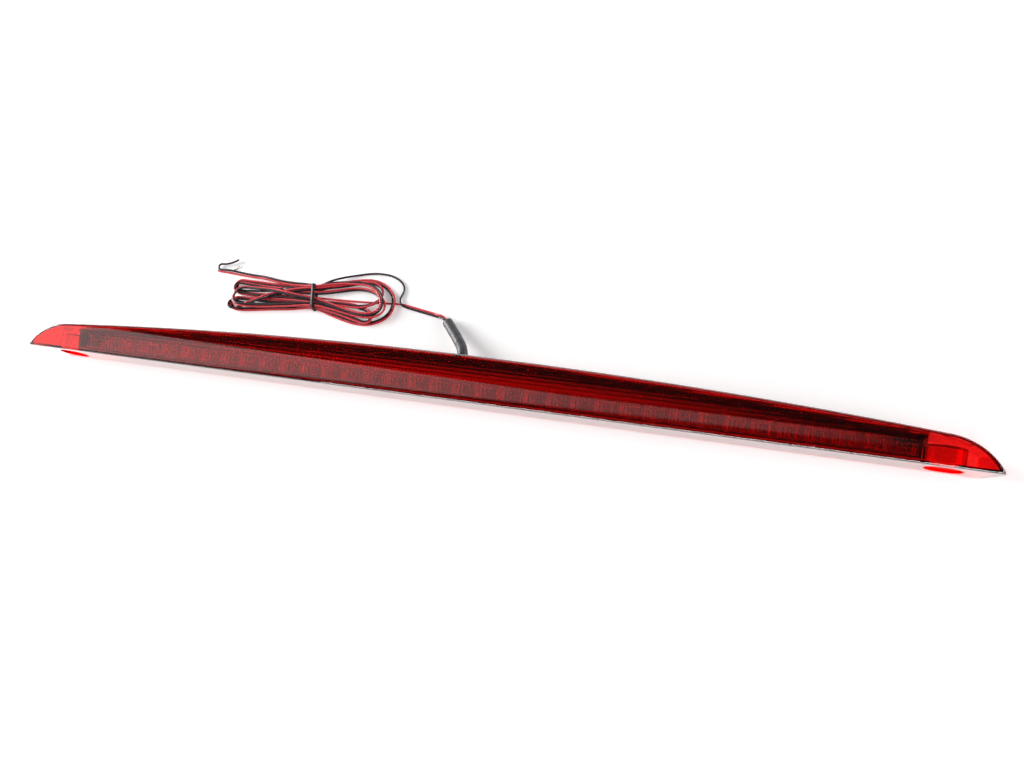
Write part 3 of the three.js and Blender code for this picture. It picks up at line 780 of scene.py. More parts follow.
@dataclass
class Lens:
    """The clear red cover with its two blind pockets and its cable hole."""

    bow: Bow = field(default_factory=Bow)
    wall: float = 2.8
    pocket_centre: float = 389.0
    pocket_length: float = 28.0
    pocket_width: float = 22.0
    pocket_depth: float = 14.5
    pocket_wall: float = 1.6
    pocket_level: float = 17.0
    hole_radius: float = 5.0
    hole_level: float = 12.0
    hole_ends: Pair = (14.0, 30.0)
    inner_back: float = -10.0
    overrun: float = 5.0

    def build(self, finishes: Finishes) -> bpy.types.Object:
        """Cuts the lens from closed forms and dresses it.

        Args:
            finishes: Gives the acrylic.

        Returns:
            The lens.
        """
        recipe = Recipe("lens")
        low = -self.bow.half_height
        roof = low + self.pocket_depth
        length, width, grown = self.pocket_length, self.pocket_width, 2 * self.pocket_wall
        shell_ends = (low + self.wall / 2, roof + self.pocket_wall)
        outer = self.bow.body("lens_outer", 0.0, 0.0)
        inner = self.bow.body("lens_inner", self.wall, self.inner_back)
        shells, late_cuts = [], [self.hole()]
        for side in (-1, 1):
            centre = (side * self.pocket_centre, 0.0, self.pocket_level)
            shells.append(obround_prism("pocket_shell", centre, length + grown, width + grown, *shell_ends))
            late_cuts.append(obround_prism("pocket_hollow", centre, length, width, low - self.overrun, roof))
        steps = [("DIFFERENCE", inner)]
        steps += [("UNION", tool) for tool in shells] + [("DIFFERENCE", tool) for tool in late_cuts]
        values: dict[str, Any] = {"Form": outer}
        body = add_node(recipe.tree, "GeometryNodeObjectInfo", {"Object": recipe.ask("Form", "NodeSocketObject")})
        geometry = body.outputs["Geometry"]
        for operation, tool in steps:
            name = f"Tool {len(values)}"
            values[name] = tool
            socket = recipe.ask(name, "NodeSocketObject")
            info = add_node(recipe.tree, "GeometryNodeObjectInfo", {"Object": socket})
            step = add_node(recipe.tree, "GeometryNodeMeshBoolean", operation=operation, solver="MANIFOLD")
            # A union takes both forms in its second socket.
            first = "Mesh 1" if operation == "DIFFERENCE" else "Mesh 2"
            recipe.tree.links.new(geometry, step.inputs[first])
            recipe.tree.links.new(info.outputs["Geometry"], step.inputs["Mesh 2"])
            geometry = step.outputs["Mesh"]
        recipe.end(geometry, recipe.ask("Acrylic", "NodeSocketMaterial"))
        values["Acrylic"] = finishes.material(Stuff.LENS)
        lens = recipe.bake(values, [outer, *(tool for _, tool in steps)])
        lens.data.shade_smooth()
        lens.data.set_sharp_from_angle(angle=math.radians(30))
        return finishes.finish(lens, Stuff.LENS, "lens_cover")

    def hole(self) -> bpy.types.Object:
        """The cable hole's cutter, a rod along Y through the upper wall."""
        turn = full_turn(40)
        x, z = self.hole_radius * np.cos(turn), self.hole_level + self.hole_radius * np.sin(turn)
        ends = [np.column_stack([x, np.full_like(x, y), z]) for y in self.hole_ends]
        return mesh_object("cable_hole", np.vstack(ends), ring_faces(2, len(turn)))


# ---- Lamp inside ------------------------------------------------------------------------------------


@dataclass
class LedRow:
    """The 36 LEDs, 5 mm type, one in the middle of each cell."""

    count: int = 36
    pitch: float = 20.506
    line: float = -7.5
    level: float = 6.9
    radius: float = 2.5
    flange_radius: float = 2.9
    flange_height: float = 1.0
    height: float = 8.6

    def dome(self) -> bpy.types.Object:
        """One LED, turned about Z with its foot at the origin."""
        arc = [
            (self.radius * math.cos(a), self.height - self.radius + self.radius * math.sin(a))
            for a in np.linspace(0, math.pi / 2, 6)[:-1]
        ]
        profile = [(self.flange_radius, 0.0), (self.flange_radius, self.flange_height)]
        profile += [(self.radius, self.flange_height), *arc, (0.35, self.height - 0.02)]
        return turned("led_dome", profile, 14)

    def build(self, finishes: Finishes) -> bpy.types.Object:
        """Sets the row out along the cells.

        Args:
            finishes: Gives the epoxy.

        Returns:
            The row.
        """
        recipe = Recipe("led_row")
        count = recipe.ask("Count", "NodeSocketInt")
        pitch = recipe.ask("Pitch", "NodeSocketVector")
        start = recipe.ask("Start", "NodeSocketVector")
        dome = recipe.ask("Dome", "NodeSocketObject")
        epoxy = recipe.ask("Epoxy", "NodeSocketMaterial")
        line = {"Count": count, "Start Location": start, "Offset": pitch}
        spots = add_node(recipe.tree, "GeometryNodeMeshLine", line).outputs["Mesh"]
        info = add_node(recipe.tree, "GeometryNodeObjectInfo", {"Object": dome, "As Instance": True})
        copies = {"Points": spots, "Instance": info.outputs["Geometry"]}
        recipe.end(add_node(recipe.tree, "GeometryNodeInstanceOnPoints", copies).outputs["Instances"], epoxy)
        one = self.dome()
        values = {
            "Count": self.count,
            "Pitch": (self.pitch * MM, 0.0, 0.0),
            "Start": (-(self.count - 1) / 2 * self.pitch * MM, self.line * MM, self.level * MM),
            "Dome": one,
            "Epoxy": finishes.material(Stuff.LED),
        }
        leds = recipe.bake(values, [one])
        return finishes.finish(leds, Stuff.LED, *[f"led_{i + 1:02d}" for i in range(self.count)])


def turned(name: str, profile: Sequence[Pair], sides: int) -> bpy.types.Object:
    """A closed shape turned about Z from a profile of radius and height, foot first.

    Args:
        name: The object's name.
        profile: Radius and height of each ring, from the foot up.
        sides: Sides of each ring.

    Returns:
        The object.
    """
    turn = full_turn(sides)
    rings = [np.column_stack([r * np.cos(turn), r * np.sin(turn), np.full(sides, z)]) for r, z in profile]
    return mesh_object(name, np.vstack(rings), ring_faces(len(rings), sides))


@dataclass
class Inside:
    """CAD pieces inside the lamp that stay shown: tray, reflector, boards, links, seal and feed wires."""

    stuffs: dict[str, Stuff] = field(
        default_factory=lambda: {
            "rear_housing": Stuff.TRAY,
            "perimeter_seal": Stuff.SEALANT,
            "reflector": Stuff.REFLECTOR,
            **{f"led_board_{i}": Stuff.BOARD for i in (1, 2, 3)},
            **{f"board_link_{i}": Stuff.TINNED for i in (1, 2)},
            "feed_wire_red": Stuff.RED_PVC,
            "feed_wire_black": Stuff.BLACK_PVC,
            "red_core_strand": Stuff.TINNED,
        }
    )

    def dress(self, finishes: Finishes) -> None:
        """Gives each piece its finish."""
        for name, stuff in self.stuffs.items():
            finishes.coat(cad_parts[name], stuff)


# ---- Lead -------------------------------------------------------------------------------------------


@dataclass
class Lead:
    """The two cores from the sleeve to their stripped ends, wound in a hank that a tie holds.

    The middle line of the pair is given run by run, then both cores are settled together: they keep
    their length, rest on the floor and on each other, and don't pass through one another.
    """

    diameter: float = 1.9
    step: float = 1.3
    spacing: float = 1.95
    least_chord: float = 4.5
    chord_steps: int = 4
    straightening: float = 0.8
    tie_x: float = -157.0
    tie_half_width: float = 3.0
    tie_low: float = 51.9
    tie_high: float = 72.6
    tie_floor: float = 2.1
    tie_roof: float = 6.8
    tie_side: float = 76.0
    rounds: int = 360
    together: float = 0.4
    stiffness: float = 0.12
    homing: float = 0.02
    weight: float = 0.01
    held_at_mouth: int = 18
    held_at_ends: tuple[int, int] = (30, 44)
    wander: float = 0.35
    curve_step: float = 1.2

    opening: tuple[Point, ...] = (
        (-15, 44.4, 7.1), (-19.6, 49.2, 5.7), (-23.4, 52.8, 4.8), (-25.6, 54.7, 4.2), (-29.3, 56.6, 3.3),
        (-36, 58.2, 2), (-46, 60, 1.1), (-58, 62, 0.9), (-69, 63.8, 1),
    )
    red_entry: tuple[Point, ...] = (
        (-78, 64.6, 1.1), (-90, 64.2, 1), (-106, 63.4, 1), (-130, 62.8, 1.6), (-157, 62.4, 2.2), (-185, 61.8, 1.5),
        (-214, 61, 1), (-226, 60.8, 1),
    )
    black_entry: tuple[Point, ...] = (
        (-73.4, 66, 2.4), (-74.6, 69.6, 2), (-72.4, 73.6, 1.3), (-70.6, 77.6, 0.95), (-71.8, 82, 0.9),
        (-77, 86.6, 0.9), (-84, 89.6, 0.9), (-93, 91, 0.9), (-103.5, 90.8, 0.9), (-112, 89.3, 1), (-120, 87.4, 1.4),
        (-129, 84.9, 2.4), (-138, 81.8, 3.8), (-147, 77.5, 5.2), (-157, 72.2, 4.2), (-172, 70, 4.6),
        (-195, 66, 3.2), (-214, 63.6, 1.4), (-226, 63, 1),
    )
    runs: tuple[Point, ...] = (
        (-236, 60.8, 1), (-243.6, 65.4, 1), (-238, 70.8, 1), (-226, 71, 1), (-208, 70.6, 1), (-185, 70.9, 1.5),
        (-157, 70.8, 2.2), (-134, 78, 1.5), (-120, 81.6, 1), (-106, 83.4, 1), (-92.5, 81.2, 1.2), (-81.5, 73, 2),
        (-77.4, 63.5, 3.2), (-81.8, 53, 1.8), (-93, 45.6, 1), (-107, 43.2, 1), (-122, 45, 1), (-140, 49.6, 1.6),
        (-157, 53.8, 2.2), (-185, 50.4, 1.5), (-212, 46.8, 1), (-230, 44.6, 1), (-240.5, 45.4, 1), (-245, 49.6, 1),
        (-241.4, 54.2, 1), (-231, 55.2, 1), (-212, 55.4, 1), (-185, 56.8, 1.5), (-157, 58.2, 2.2),
        (-140, 59.4, 1.8), (-124, 59.8, 1.4), (-110, 58.2, 1.6), (-99.5, 54.2, 3.2), (-95.8, 48.6, 3.7),
        (-101.6, 44.2, 3.3), (-116, 47, 2.9), (-136, 51.2, 3.4), (-157, 54.6, 4.1), (-185, 52.6, 3.4),
        (-212, 50.6, 3), (-230, 50, 3), (-240.6, 51.8, 3), (-245.4, 47.9, 3.4), (-240.2, 44, 4), (-230, 47.6, 4.9),
        (-203, 60, 5), (-178, 67, 5.4), (-157, 70.6, 5.9), (-134, 74.8, 4.6), (-116, 79.8, 3), (-102, 81.8, 2.9),
        (-91.8, 77.6, 2.9), (-89.8, 69.6, 3.6), (-95.6, 62.6, 3.8), (-108.6, 58.2, 3.4), (-130, 58.4, 3.5),
        (-157, 58.8, 4.1), (-185, 58.4, 3.4), (-212, 58, 3), (-229, 59.2, 3), (-240, 60.8, 3), (-244.2, 65, 3),
        (-238.8, 69.4, 3), (-226, 68.8, 3), (-206, 67.6, 3), (-185, 66.8, 3.4), (-157, 66.4, 4.1),
        (-134, 70.6, 3.5), (-116, 74.6, 3), (-100, 73.2, 4.6), (-88, 66.6, 6.2), (-83.6, 59.6, 5.6),
        (-87.4, 52.8, 5), (-98, 48.8, 5.6), (-114, 49.8, 4.8), (-136, 53.6, 5.2), (-157, 55.6, 6), (-185, 52, 5.4),
        (-212, 48.6, 6), (-229, 47.6, 7.4), (-238.5, 48.8, 6.6), (-240.8, 54.8, 5), (-240, 60.6, 4.8),
        (-234.6, 64.8, 4.8), (-222, 65.4, 5), (-200, 64.8, 6.4), (-180, 62.6, 6.6), (-157, 60.6, 5.6),
        (-136, 56, 5.6), (-118, 52.2, 6), (-104, 50.4, 7), (-92.4, 52.6, 7.4), (-86.4, 59.4, 7.8), (-89, 68.4, 8.2),
        (-98, 76.4, 6.8), (-112, 79.2, 5.6), (-134, 77.4, 5.8), (-157, 73.6, 6), (-178, 72.6, 5.2),
        (-197, 73.6, 4.6),
    )
    red_tail: tuple[Point, ...] = (
        (-213, 75.4, 3.4), (-221, 75.8, 2.2), (-230, 76.3, 1.4), (-240, 77, 0.95), (-250, 77.9, 0.9),
        (-258, 78.4, 0.9), (-265.5, 78.8, 0.9),
    )
    black_tail: tuple[Point, ...] = (
        (-213, 77.4, 3.2), (-221, 77.8, 2.2), (-230, 78.3, 1.5), (-240, 79.2, 1.2), (-248, 80, 1.7),
        (-254, 80.2, 2.2), (-258.5, 80.2, 2.2), (-262.6, 80.3, 2.2), (-264.7, 81.2, 2.2), (-265.5, 83, 2.2),
        (-264.6, 84.8, 2.2), (-262.4, 85.6, 2.2), (-258.4, 85.9, 2.2), (-252, 87.6, 2.3), (-245.2, 91, 2.6),
    )

    def pair(self, middle: np.ndarray, half_turns: int) -> tuple[np.ndarray, np.ndarray]:
        """Both cores beside a middle line, the pair rocking slowly about it.

        Args:
            middle: The middle line.
            half_turns: 0 puts the red core on the left of its way, 1 on the right.

        Returns:
            The red core's and the black core's points.
        """
        side, up = frames_along(middle)
        share = np.linspace(0, 1, len(middle))
        wander = self.wander * np.sin(9 * math.pi * share) * np.sin(math.pi * share) ** 0.5
        angle = math.pi * (half_turns + wander)[:, None]
        aside = (side * np.cos(angle) + up * np.sin(angle)) * self.diameter / 2
        return middle + aside, middle - aside

    def settled(self) -> tuple[np.ndarray, np.ndarray]:
        """Both cores at rest.

        Returns:
            The red core's and the black core's points, in millimetres.
        """
        opening = smooth_line(self.opening, self.step)
        middle = smooth_line(self.runs, self.step)
        red_lead, black_lead = self.pair(opening, 1)
        red_runs, black_runs = self.pair(middle, 0)
        red_in = smooth_line([red_lead[-1], *self.red_entry, red_runs[0]], self.step)[1:-1]
        black_in = smooth_line([black_lead[-1], *self.black_entry, black_runs[0]], self.step)[1:-1]
        red_out = smooth_line([red_runs[-1], *self.red_tail], self.step)[1:]
        black_out = smooth_line([black_runs[-1], *self.black_tail], self.step)[1:]
        red = np.vstack([red_lead, red_in, red_runs, red_out])
        black = np.vstack([black_lead, black_in, black_runs, black_out])
        count, n = len(red), len(opening)
        pairs = [(i, count + i) for i in range(n)]
        red_start, black_start = n + len(red_in), count + n + len(black_in)
        pairs += [(red_start + i, black_start + i) for i in range(len(middle))]
        both = self.settle(np.vstack([red, black]), count, np.array(pairs))
        return both[:count], both[count:]

    def settle(self, points: np.ndarray, count: int, pairs: np.ndarray) -> np.ndarray:
        """Moves both cores until they keep their length and clear each other.

        Args:
            points: The red core's points, then the black core's.
            count: How many belong to the red core.
            pairs: Numbers of points that lie side by side in the pair.

        Returns:
            The settled points.
        """
        start = points.copy()
        number = np.arange(len(points))
        core = (number >= count).astype(int)

        def ends_of(gap: int) -> np.ndarray:
            """Pairs of points on one core, this many steps apart."""
            ends = np.stack([number[:-gap], number[gap:]], axis=1)
            return ends[core[ends[:, 0]] == core[ends[:, 1]]]

        links, spans = ends_of(1), ends_of(self.chord_steps)
        rest = np.linalg.norm(points[links[:, 1]] - points[links[:, 0]], axis=1)
        held = np.zeros(len(points), bool)
        red_end, black_end = self.held_at_ends
        held[: self.held_at_mouth] = held[count : count + self.held_at_mouth] = True
        held[count - red_end : count] = held[-black_end:] = True
        free = (~held).astype(float)[:, None]
        radius = self.diameter / 2
        for turn in range(self.rounds):
            if turn % 10 == 0:
                near = self.neighbours(points, core)
            points = self.push(points, links, rest, 1.0, False)
            points = self.push(points, pairs, np.full(len(pairs), self.diameter + 0.02), self.together, False)
            points = self.push(points, near, np.full(len(near), self.spacing), 1.0, True)
            points = self.push(points, spans, np.full(len(spans), self.least_chord), self.straightening, True)
            middle = (points[:-2] + points[2:]) / 2
            bend = np.zeros_like(points)
            bend[1:-1] = self.stiffness * (middle - points[1:-1])
            bend[count - 1 : count + 1] = 0
            calm = 1 - turn / self.rounds
            pull = self.homing * calm * (start - points)
            points = points + free * (bend + pull - [0, 0, self.weight * calm])
            floor = np.full(len(points), radius)
            tied = (np.abs(points[:, 0] - self.tie_x) < self.tie_half_width) & (points[:, 1] < self.tie_side)
            floor[tied] = self.tie_floor
            points[:, 2] = np.maximum(points[:, 2], floor)
            points[tied, 1] = np.clip(points[tied, 1], self.tie_low, self.tie_high)
            points[tied, 2] = np.minimum(points[tied, 2], self.tie_roof)
            points[held] = start[held]
        return points

    def neighbours(self, points: np.ndarray, core: np.ndarray) -> np.ndarray:
        """Pairs of points that may touch.

        Args:
            points: All points.
            core: Which core each belongs to.

        Returns:
            Pairs of point numbers.
        """
        reach = 2 * self.spacing
        found = []
        skip = int(math.ceil(3.2 * self.diameter / self.step))
        order = np.argsort(points[:, 0], kind="stable")
        xs = points[order, 0]
        ends = np.searchsorted(xs, xs + reach)
        for offset in range(1, int((ends - np.arange(len(xs))).max())):
            a = np.arange(len(xs) - offset)
            a = a[a + offset < ends[a]]
            if not len(a):
                break
            i, j = order[a], order[a + offset]
            close = np.sum((points[i] - points[j]) ** 2, axis=1) < reach**2
            close &= (core[i] != core[j]) | (np.abs(i - j) > skip)
            found.append(np.stack([i[close], j[close]], axis=1))
        return np.vstack(found)

    @staticmethod
    def push(points: np.ndarray, pairs: np.ndarray, apart: np.ndarray, share: float, only_out: bool) -> np.ndarray:
        """Moves pairs of points towards a distance.

        Args:
            points: All points.
            pairs: Numbers of the pairs.
            apart: Distance wanted for each pair.
            share: How much of the error is taken up.
            only_out: Whether pairs further apart than that are left alone.

        Returns:
            The moved points.
        """
        a, b = pairs[:, 0], pairs[:, 1]
        way = points[b] - points[a]
        length = np.maximum(np.linalg.norm(way, axis=1), 1e-6)
        error = length - apart
        if only_out:
            error = np.minimum(error, 0)
        move = (way / length[:, None]) * (0.5 * share * error)[:, None]
        total = np.zeros_like(points)
        active = np.abs(error) > 1e-9
        for k in range(3):
            total[:, k] = np.bincount(a, move[:, k], len(points)) - np.bincount(b, move[:, k], len(points))
        hits = np.bincount(a[active], minlength=len(points)) + np.bincount(b[active], minlength=len(points))
        return points + total * (1.6 / np.maximum(hits, 1.6))[:, None]

    def core_curve(self, name: str, line: np.ndarray) -> bpy.types.Object:
        """One core as a round curve.

        Args:
            name: The object's name.
            line: Its centreline in millimetres.

        Returns:
            The curve object.
        """
        curve = bpy.data.curves.new(name, "CURVE")
        curve.dimensions = "3D"
        curve.bevel_depth = self.diameter / 2 * MM
        curve.bevel_resolution = 4
        curve.use_fill_caps = True
        spline = curve.splines.new("POLY")
        fine = smooth_line([*line[:-1:2], line[-1]], self.curve_step)
        spline.points.add(len(fine) - 1)
        spline.points.foreach_set("co", np.hstack([fine * MM, np.ones((len(fine), 1))]).ravel())
        spline.use_smooth = True
        return linked(name, curve)

    def build(self, finishes: Finishes) -> None:
        """Args:
            finishes: Gives the PVC and the tie's finish.
        """
        red_line, black_line = self.settled()
        tie = Tie(core_radius=self.diameter / 2).build(finishes, (red_line, black_line))
        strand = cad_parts["red_core_strand"]
        for name, line, stuff, nodes, on_it in (
            ("red_core", red_line, Stuff.RED_PVC, ("lead_red", "tail_red", "cable_hank"), (*tie, strand)),
            ("black_core", black_line, Stuff.BLACK_PVC, ("lead_black", "black_core_loop", "tail_black"), ()),
        ):
            core = finishes.finish(self.core_curve(name, line), stuff, *nodes)


@dataclass
class Sleeve:
    """The shrunk black sleeve over both cores, from the grommet to its open mouth."""

    route: tuple[Point, ...] = (
        (0, 22.1, 12), (-0.1, 24.6, 12), (-1.2, 28, 11.8), (-4.2, 32.6, 10.7), (-9.5, 38.6, 9), (-15.5, 45, 6.9),
        (-20.6, 50.2, 5.4), (-23.6, 53, 4.8),
    )
    outer_radius: float = 4.4
    flattened: float = 0.05
    wrinkles: int = 9
    wrinkle_height: float = 0.13
    step: float = 0.7
    wall: float = 0.7
    depth: float = 7.0
    sides: int = 40
    seed: int = 3

    def radius(self, share: np.ndarray, angle: np.ndarray) -> np.ndarray:
        """Outer radius along and round the sleeve, wrinkled where it bends and a little flattened.

        Args:
            share: Shares of the length, as a column.
            angle: Angles about the middle, as a row.

        Returns:
            The radius at each share and angle.
        """
        chance = np.random.default_rng(self.seed)
        wrinkle = np.zeros_like(share + angle)
        for _ in range(self.wrinkles):
            where, width = chance.uniform(0.05, 0.75), chance.uniform(0.02, 0.05)
            way = chance.uniform(-math.pi, math.pi)
            wrinkle += self.wrinkle_height * np.exp(-(((share - where) / width) ** 2)) * np.cos(angle - way)
        return self.outer_radius * (1 + self.flattened * np.cos(2 * angle)) + wrinkle

    def build(self, finishes: Finishes) -> bpy.types.Object:
        """Makes the sleeve as one closed wall.

        Args:
            finishes: Gives the sleeve's finish.

        Returns:
            The sleeve.
        """
        line = smooth_line(self.route, self.step)
        side, up = frames_along(line)
        turn = full_turn(self.sides)
        outer = self.radius(np.linspace(0, 1, len(line))[:, None], turn[None, :])
        outer[-3:] -= np.array([0.05, 0.2, 0.45])[:, None]
        last = len(line) - 1
        rows = [*enumerate(outer)]
        rows += [(i, outer[last - 3] - self.wall) for i in range(last, last - int(self.depth / self.step), -1)]
        rings = [
            line[i] + side[i] * (r * np.cos(turn))[:, None] + up[i] * (r * np.sin(turn))[:, None] for i, r in rows
        ]
        sleeve = mesh_object("shrunk_sleeve", np.vstack(rings), ring_faces(len(rings), self.sides), 50)
        return finishes.finish(sleeve, Stuff.SLEEVE, "cable_sleeve")


@dataclass
class Grommet:
    """The rubber grommet on the outlet's axis, with a lip each side of the wall."""

    axis: float = 12.0
    sides: int = 48
    profile: tuple[Pair, ...] = (
        (2.4, 13.1), (5.9, 13.1), (6.3, 13.4), (6.3, 14.3), (6.1, 14.6), (4.7, 14.6), (4.7, 20.3), (6.1, 20.3),
        (6.3, 20.5), (6.2, 21), (5.7, 21.6), (5.3, 21.8), (2.4, 21.8),
    )

    def build(self, finishes: Finishes) -> bpy.types.Object:
        """Turns the grommet about its axis.

        Args:
            finishes: Gives the rubber.

        Returns:
            The grommet.
        """
        turn = full_turn(self.sides)
        rings = [
            np.column_stack([r * np.cos(turn), np.full(self.sides, y), self.axis + r * np.sin(turn)])
            for r, y in self.profile
        ]
        faces = closed_faces(len(rings), self.sides)
        grommet = mesh_object("outlet_grommet", np.vstack(rings), faces)
        return finishes.finish(grommet, Stuff.RUBBER, "cable_grommet")


@dataclass
class Tie:
    """The plastic-coated tie round the hank: a thin flat band over a wire, its two ends twisted together."""

    x: float = -157.2
    slant: float = -0.145
    middle_y: float = 63.0
    width: float = 3.4
    clearance: float = 0.12
    reach: float = 2.0
    side_end: float = 78.0
    core_radius: float = 0.95
    end_radius: float = 0.6
    end_aside: float = 0.55
    end_twist: float = 9.0
    across: tuple[Pair, ...] = (
        (-0.5, 0.35), (-0.3, 0.5), (-0.16, 0.95), (0, 1.1), (0.16, 0.95), (0.3, 0.5), (0.5, 0.35),
    )
    sides: int = 72
    seed: int = 5

    def build(self, finishes: Finishes, cores: Sequence[np.ndarray]) -> list[bpy.types.Object]:
        """Wraps the band round the cores as they lie, and adds its twisted ends.

        Args:
            finishes: Gives the coated tie's finish.
            cores: The cores' settled points.

        Returns:
            The band and the ends.
        """
        points = np.vstack(cores)
        place = self.x + self.slant * (points[:, 1] - self.middle_y)
        held = points[(np.abs(points[:, 0] - place) < self.reach) & (points[:, 1] < self.side_end)][:, 1:]
        angle = full_turn(self.sides)
        away = np.column_stack([np.cos(angle), np.sin(angle)])
        corner = held[np.argmax(held @ away.T, axis=0)]
        chance = np.random.default_rng(self.seed)
        knobs = 0.1 * np.sin(angle * 23 + chance.uniform(0, 6)) + 0.05 * chance.standard_normal(self.sides)
        rings = []
        for share, lift in (*self.across, *[(share, 0.0) for share, _ in self.across[::-1]]):
            out = self.core_radius + self.clearance + lift + (knobs if lift > 0.4 else 0)
            spot = corner + away * np.broadcast_to(out, (self.sides,))[:, None]
            spot[:, 1] = np.maximum(spot[:, 1], 0.05 + 0.3 * lift)
            x = self.x + self.slant * (spot[:, 0] - self.middle_y) + share * self.width
            rings.append(np.column_stack([x, spot]))
        band = mesh_object("tie_band", np.vstack(rings), closed_faces(len(rings), self.sides), 60)
        ends = self.ends(float(held[:, 0].max()))
        return [finishes.finish(band, Stuff.TIE, "cable_tie"), finishes.finish(ends, Stuff.TIE)]

    def ends(self, edge: float) -> bpy.types.Object:
        """The two ends, twisted round each other beside the hank.

        Args:
            edge: The hank's upper side at the tie.

        Returns:
            The ends.
        """
        run = np.linspace(0, 1, 40)
        x = self.x + self.slant * (edge - self.middle_y)
        middle = np.column_stack([x - 6.5 * run, edge + 1.3 + 0.6 * run, 4.2 - 2.4 * run**0.7])
        side, up = frames_along(middle)
        points, faces = [], []
        for start in (0.0, math.pi):
            twist = (start + self.end_twist * run)[:, None]
            line = middle + self.end_aside * (side * np.cos(twist) + up * np.sin(twist))
            tube_points, tube_faces = tube_shape(line, self.end_radius, 12)
            faces += [[len(points) * len(tube_points) + i for i in face] for face in tube_faces]
            points.append(tube_points)
        return mesh_object("tie_ends", np.vstack(points), faces, 60)


def tube_shape(line: np.ndarray, radius: float, sides: int) -> Shape:
    """A closed round tube along a line.

    Args:
        line: Points along its middle.
        radius: Its radius.
        sides: Sides of its section.

    Returns:
        Points and faces.
    """
    side, up = frames_along(line)
    turn = full_turn(sides)
    rings = [
        line[i] + radius * (np.outer(np.cos(turn), side[i]) + np.outer(np.sin(turn), up[i])) for i in range(len(line))
    ]
    return np.vstack(rings), ring_faces(len(rings), sides)


# ---- Studio and camera ------------------------------------------------------------------------------


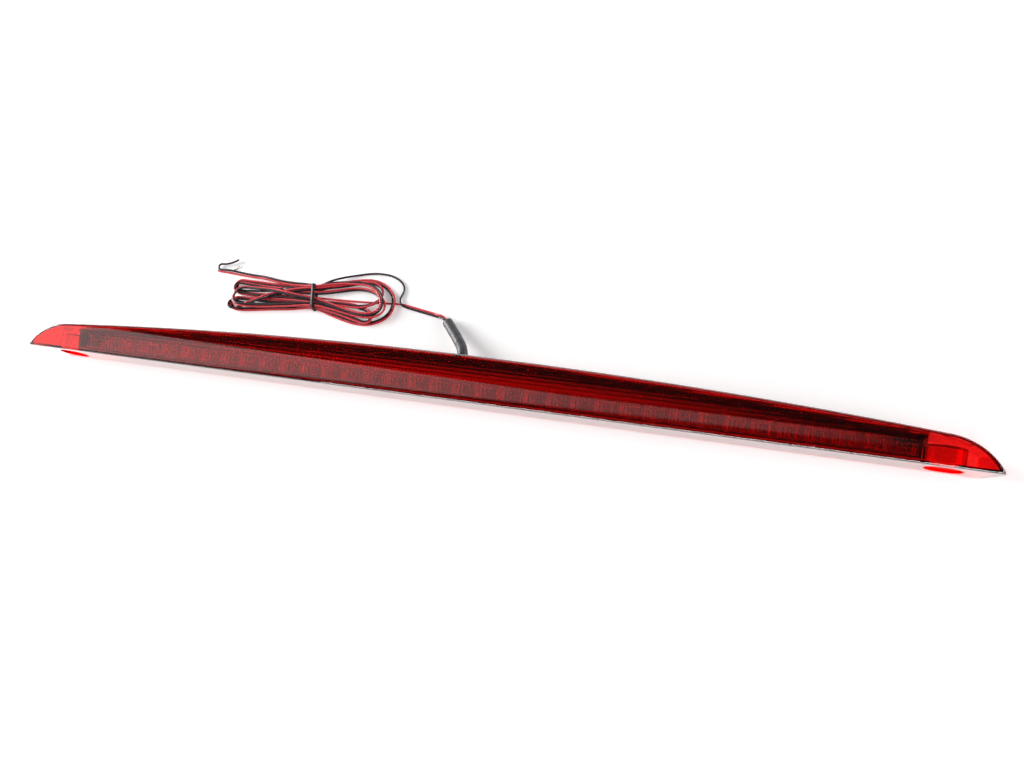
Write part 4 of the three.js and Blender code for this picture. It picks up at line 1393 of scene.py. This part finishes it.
@dataclass
class Studio:
    """A pale floor, a pale horizon and soft panels of light."""

    floor_half: float = 6000.0
    horizon: float = 0.9
    overhead: float = 0.02
    floor_glow: float = 0.3

    def build(self) -> None:
        """Makes the floor, the world and the lights."""
        corners = np.array([(-1, -1, 0), (1, -1, 0), (1, 1, 0), (-1, 1, 0)], float)
        floor = mesh_object("studio_floor", corners * self.floor_half, [[0, 1, 2, 3]])
        paint = Moulded("floor_white", "f2f2f2", "f6f6f6", 0.8, 0.05, patch_mm=300.0, grain_mm=20.0, relief_mm=0.0)
        material = paint.make()
        shader = found(material.node_tree, "ShaderNodeBsdfPrincipled")
        glow = {"Emission Color": linear("ffffff"), "Emission Strength": self.floor_glow}
        feed(material.node_tree, shader, glow)
        floor.data.materials.append(material)
        self.sky()
        self.panel("panel_right", (2300, -100, 900), (-1, 0, -0.35), (1600, 1500), 4.5)
        self.panel("panel_left", (-2300, 400, 900), (1, -0.15, -0.38), (1500, 900), 20.0)
        self.panel("panel_front", (0, -2400, 700), (0, 1, -0.25), (3000, 900), 7.5)

    def sky(self) -> None:
        """A world that is pale near the horizon and dark overhead, but for one long soft box.

        The box fades to the right, and on the left its far edge slants away and its near edge comes closer.
        """
        world = bpy.data.worlds.new("studio_world")
        world.use_nodes = True
        tree = world.node_tree
        tree.nodes.clear()
        way = add_node(tree, "ShaderNodeTexCoord").outputs["Generated"]
        x, y, z = add_node(tree, "ShaderNodeSeparateXYZ", {"Vector": way}).outputs
        horizon = map_range(tree, z, (0.25, 0.45), (self.horizon, self.overhead), "SMOOTHSTEP")
        fade = map_range(tree, x, (-0.2, 0.03), (0.4, 0.0), "SMOOTHSTEP")
        left = map_range(tree, x, (-0.7, -0.25), (0.8, 0.0))
        far_edge = map_range(tree, x, (-0.9, -0.3), (0.43, 0.0))
        near_edge = map_range(tree, x, (-1.0, 0.0), (-0.7, -0.2))
        far = map_range(tree, math_step(tree, "SUBTRACT", y, far_edge), (0.0, 0.04), (1.0, 0.0), "SMOOTHSTEP")
        near = map_range(tree, math_step(tree, "SUBTRACT", y, near_edge), (-0.04, 0.05), (0.0, 1.0), "SMOOTHSTEP")
        glow = math_step(tree, "ADD", fade, left)
        for mask in (far, near, map_range(tree, z, (0.45, 0.55), (0.0, 1.0), "SMOOTHSTEP")):
            glow = math_step(tree, "MULTIPLY", glow, mask)
        glow = math_step(tree, "ADD", horizon, glow)
        light = add_node(tree, "ShaderNodeBackground", {"Color": linear("ffffff"), "Strength": glow})
        add_node(tree, "ShaderNodeOutputWorld", {"Surface": light.outputs[0]})
        bpy.context.scene.world = world

    def panel(self, name: str, place: Point, aim: Point, size: Pair, radiance: float) -> None:
        """Adds one soft panel.

        Args:
            name: The light's name.
            place: Its middle, in millimetres.
            aim: The way it faces.
            size: Its two sides, in millimetres.
            radiance: How bright its face is, where 1 is white.
        """
        light = bpy.data.lights.new(name, "AREA")
        light.shape = "RECTANGLE"
        light.size, light.size_y = size[0] * MM, size[1] * MM
        light.energy = radiance * math.pi * light.size * light.size_y
        panel = linked(name, light)
        panel.location = Vector(place) * MM
        panel.rotation_euler = Vector(aim).to_track_quat("-Z", "Y").to_euler()


@dataclass
class Camera:
    """Looks down on the lamp from its right, across its length."""

    place: Point = (376.2, -169.9, 902.7)
    turn: Point = (0.2461, 0.3115, 0.1978)
    lens: float = 40.915

    def build(self) -> None:
        """Makes the camera and hands it to the scene."""
        data = bpy.data.cameras.new("camera")
        data.lens = self.lens
        data.sensor_width = 36.0
        camera = linked("camera", data)
        camera.location = Vector(self.place) * MM
        camera.rotation_euler = Euler(self.turn, "XYZ")
        bpy.context.scene.camera = camera
        bpy.context.scene.view_settings.view_transform = "Standard"


def main() -> None:
    """Builds the camera, the lead, the lamp and the studio, in that order."""
    logging.basicConfig(level=logging.INFO, format="%(name)s: %(message)s")
    finishes = Finishes()
    Camera().build()
    Lead().build(finishes)
    Sleeve().build(finishes)
    Grommet().build(finishes)
    LOG.info("lead is wound, tied and sleeved")
    Inside().dress(finishes)
    LedRow().build(finishes)
    LOG.info("inside is dressed")
    Lens().build(finishes)
    LOG.info("lens is cut")
    Studio().build()


if __name__ == "__main__":
    main()
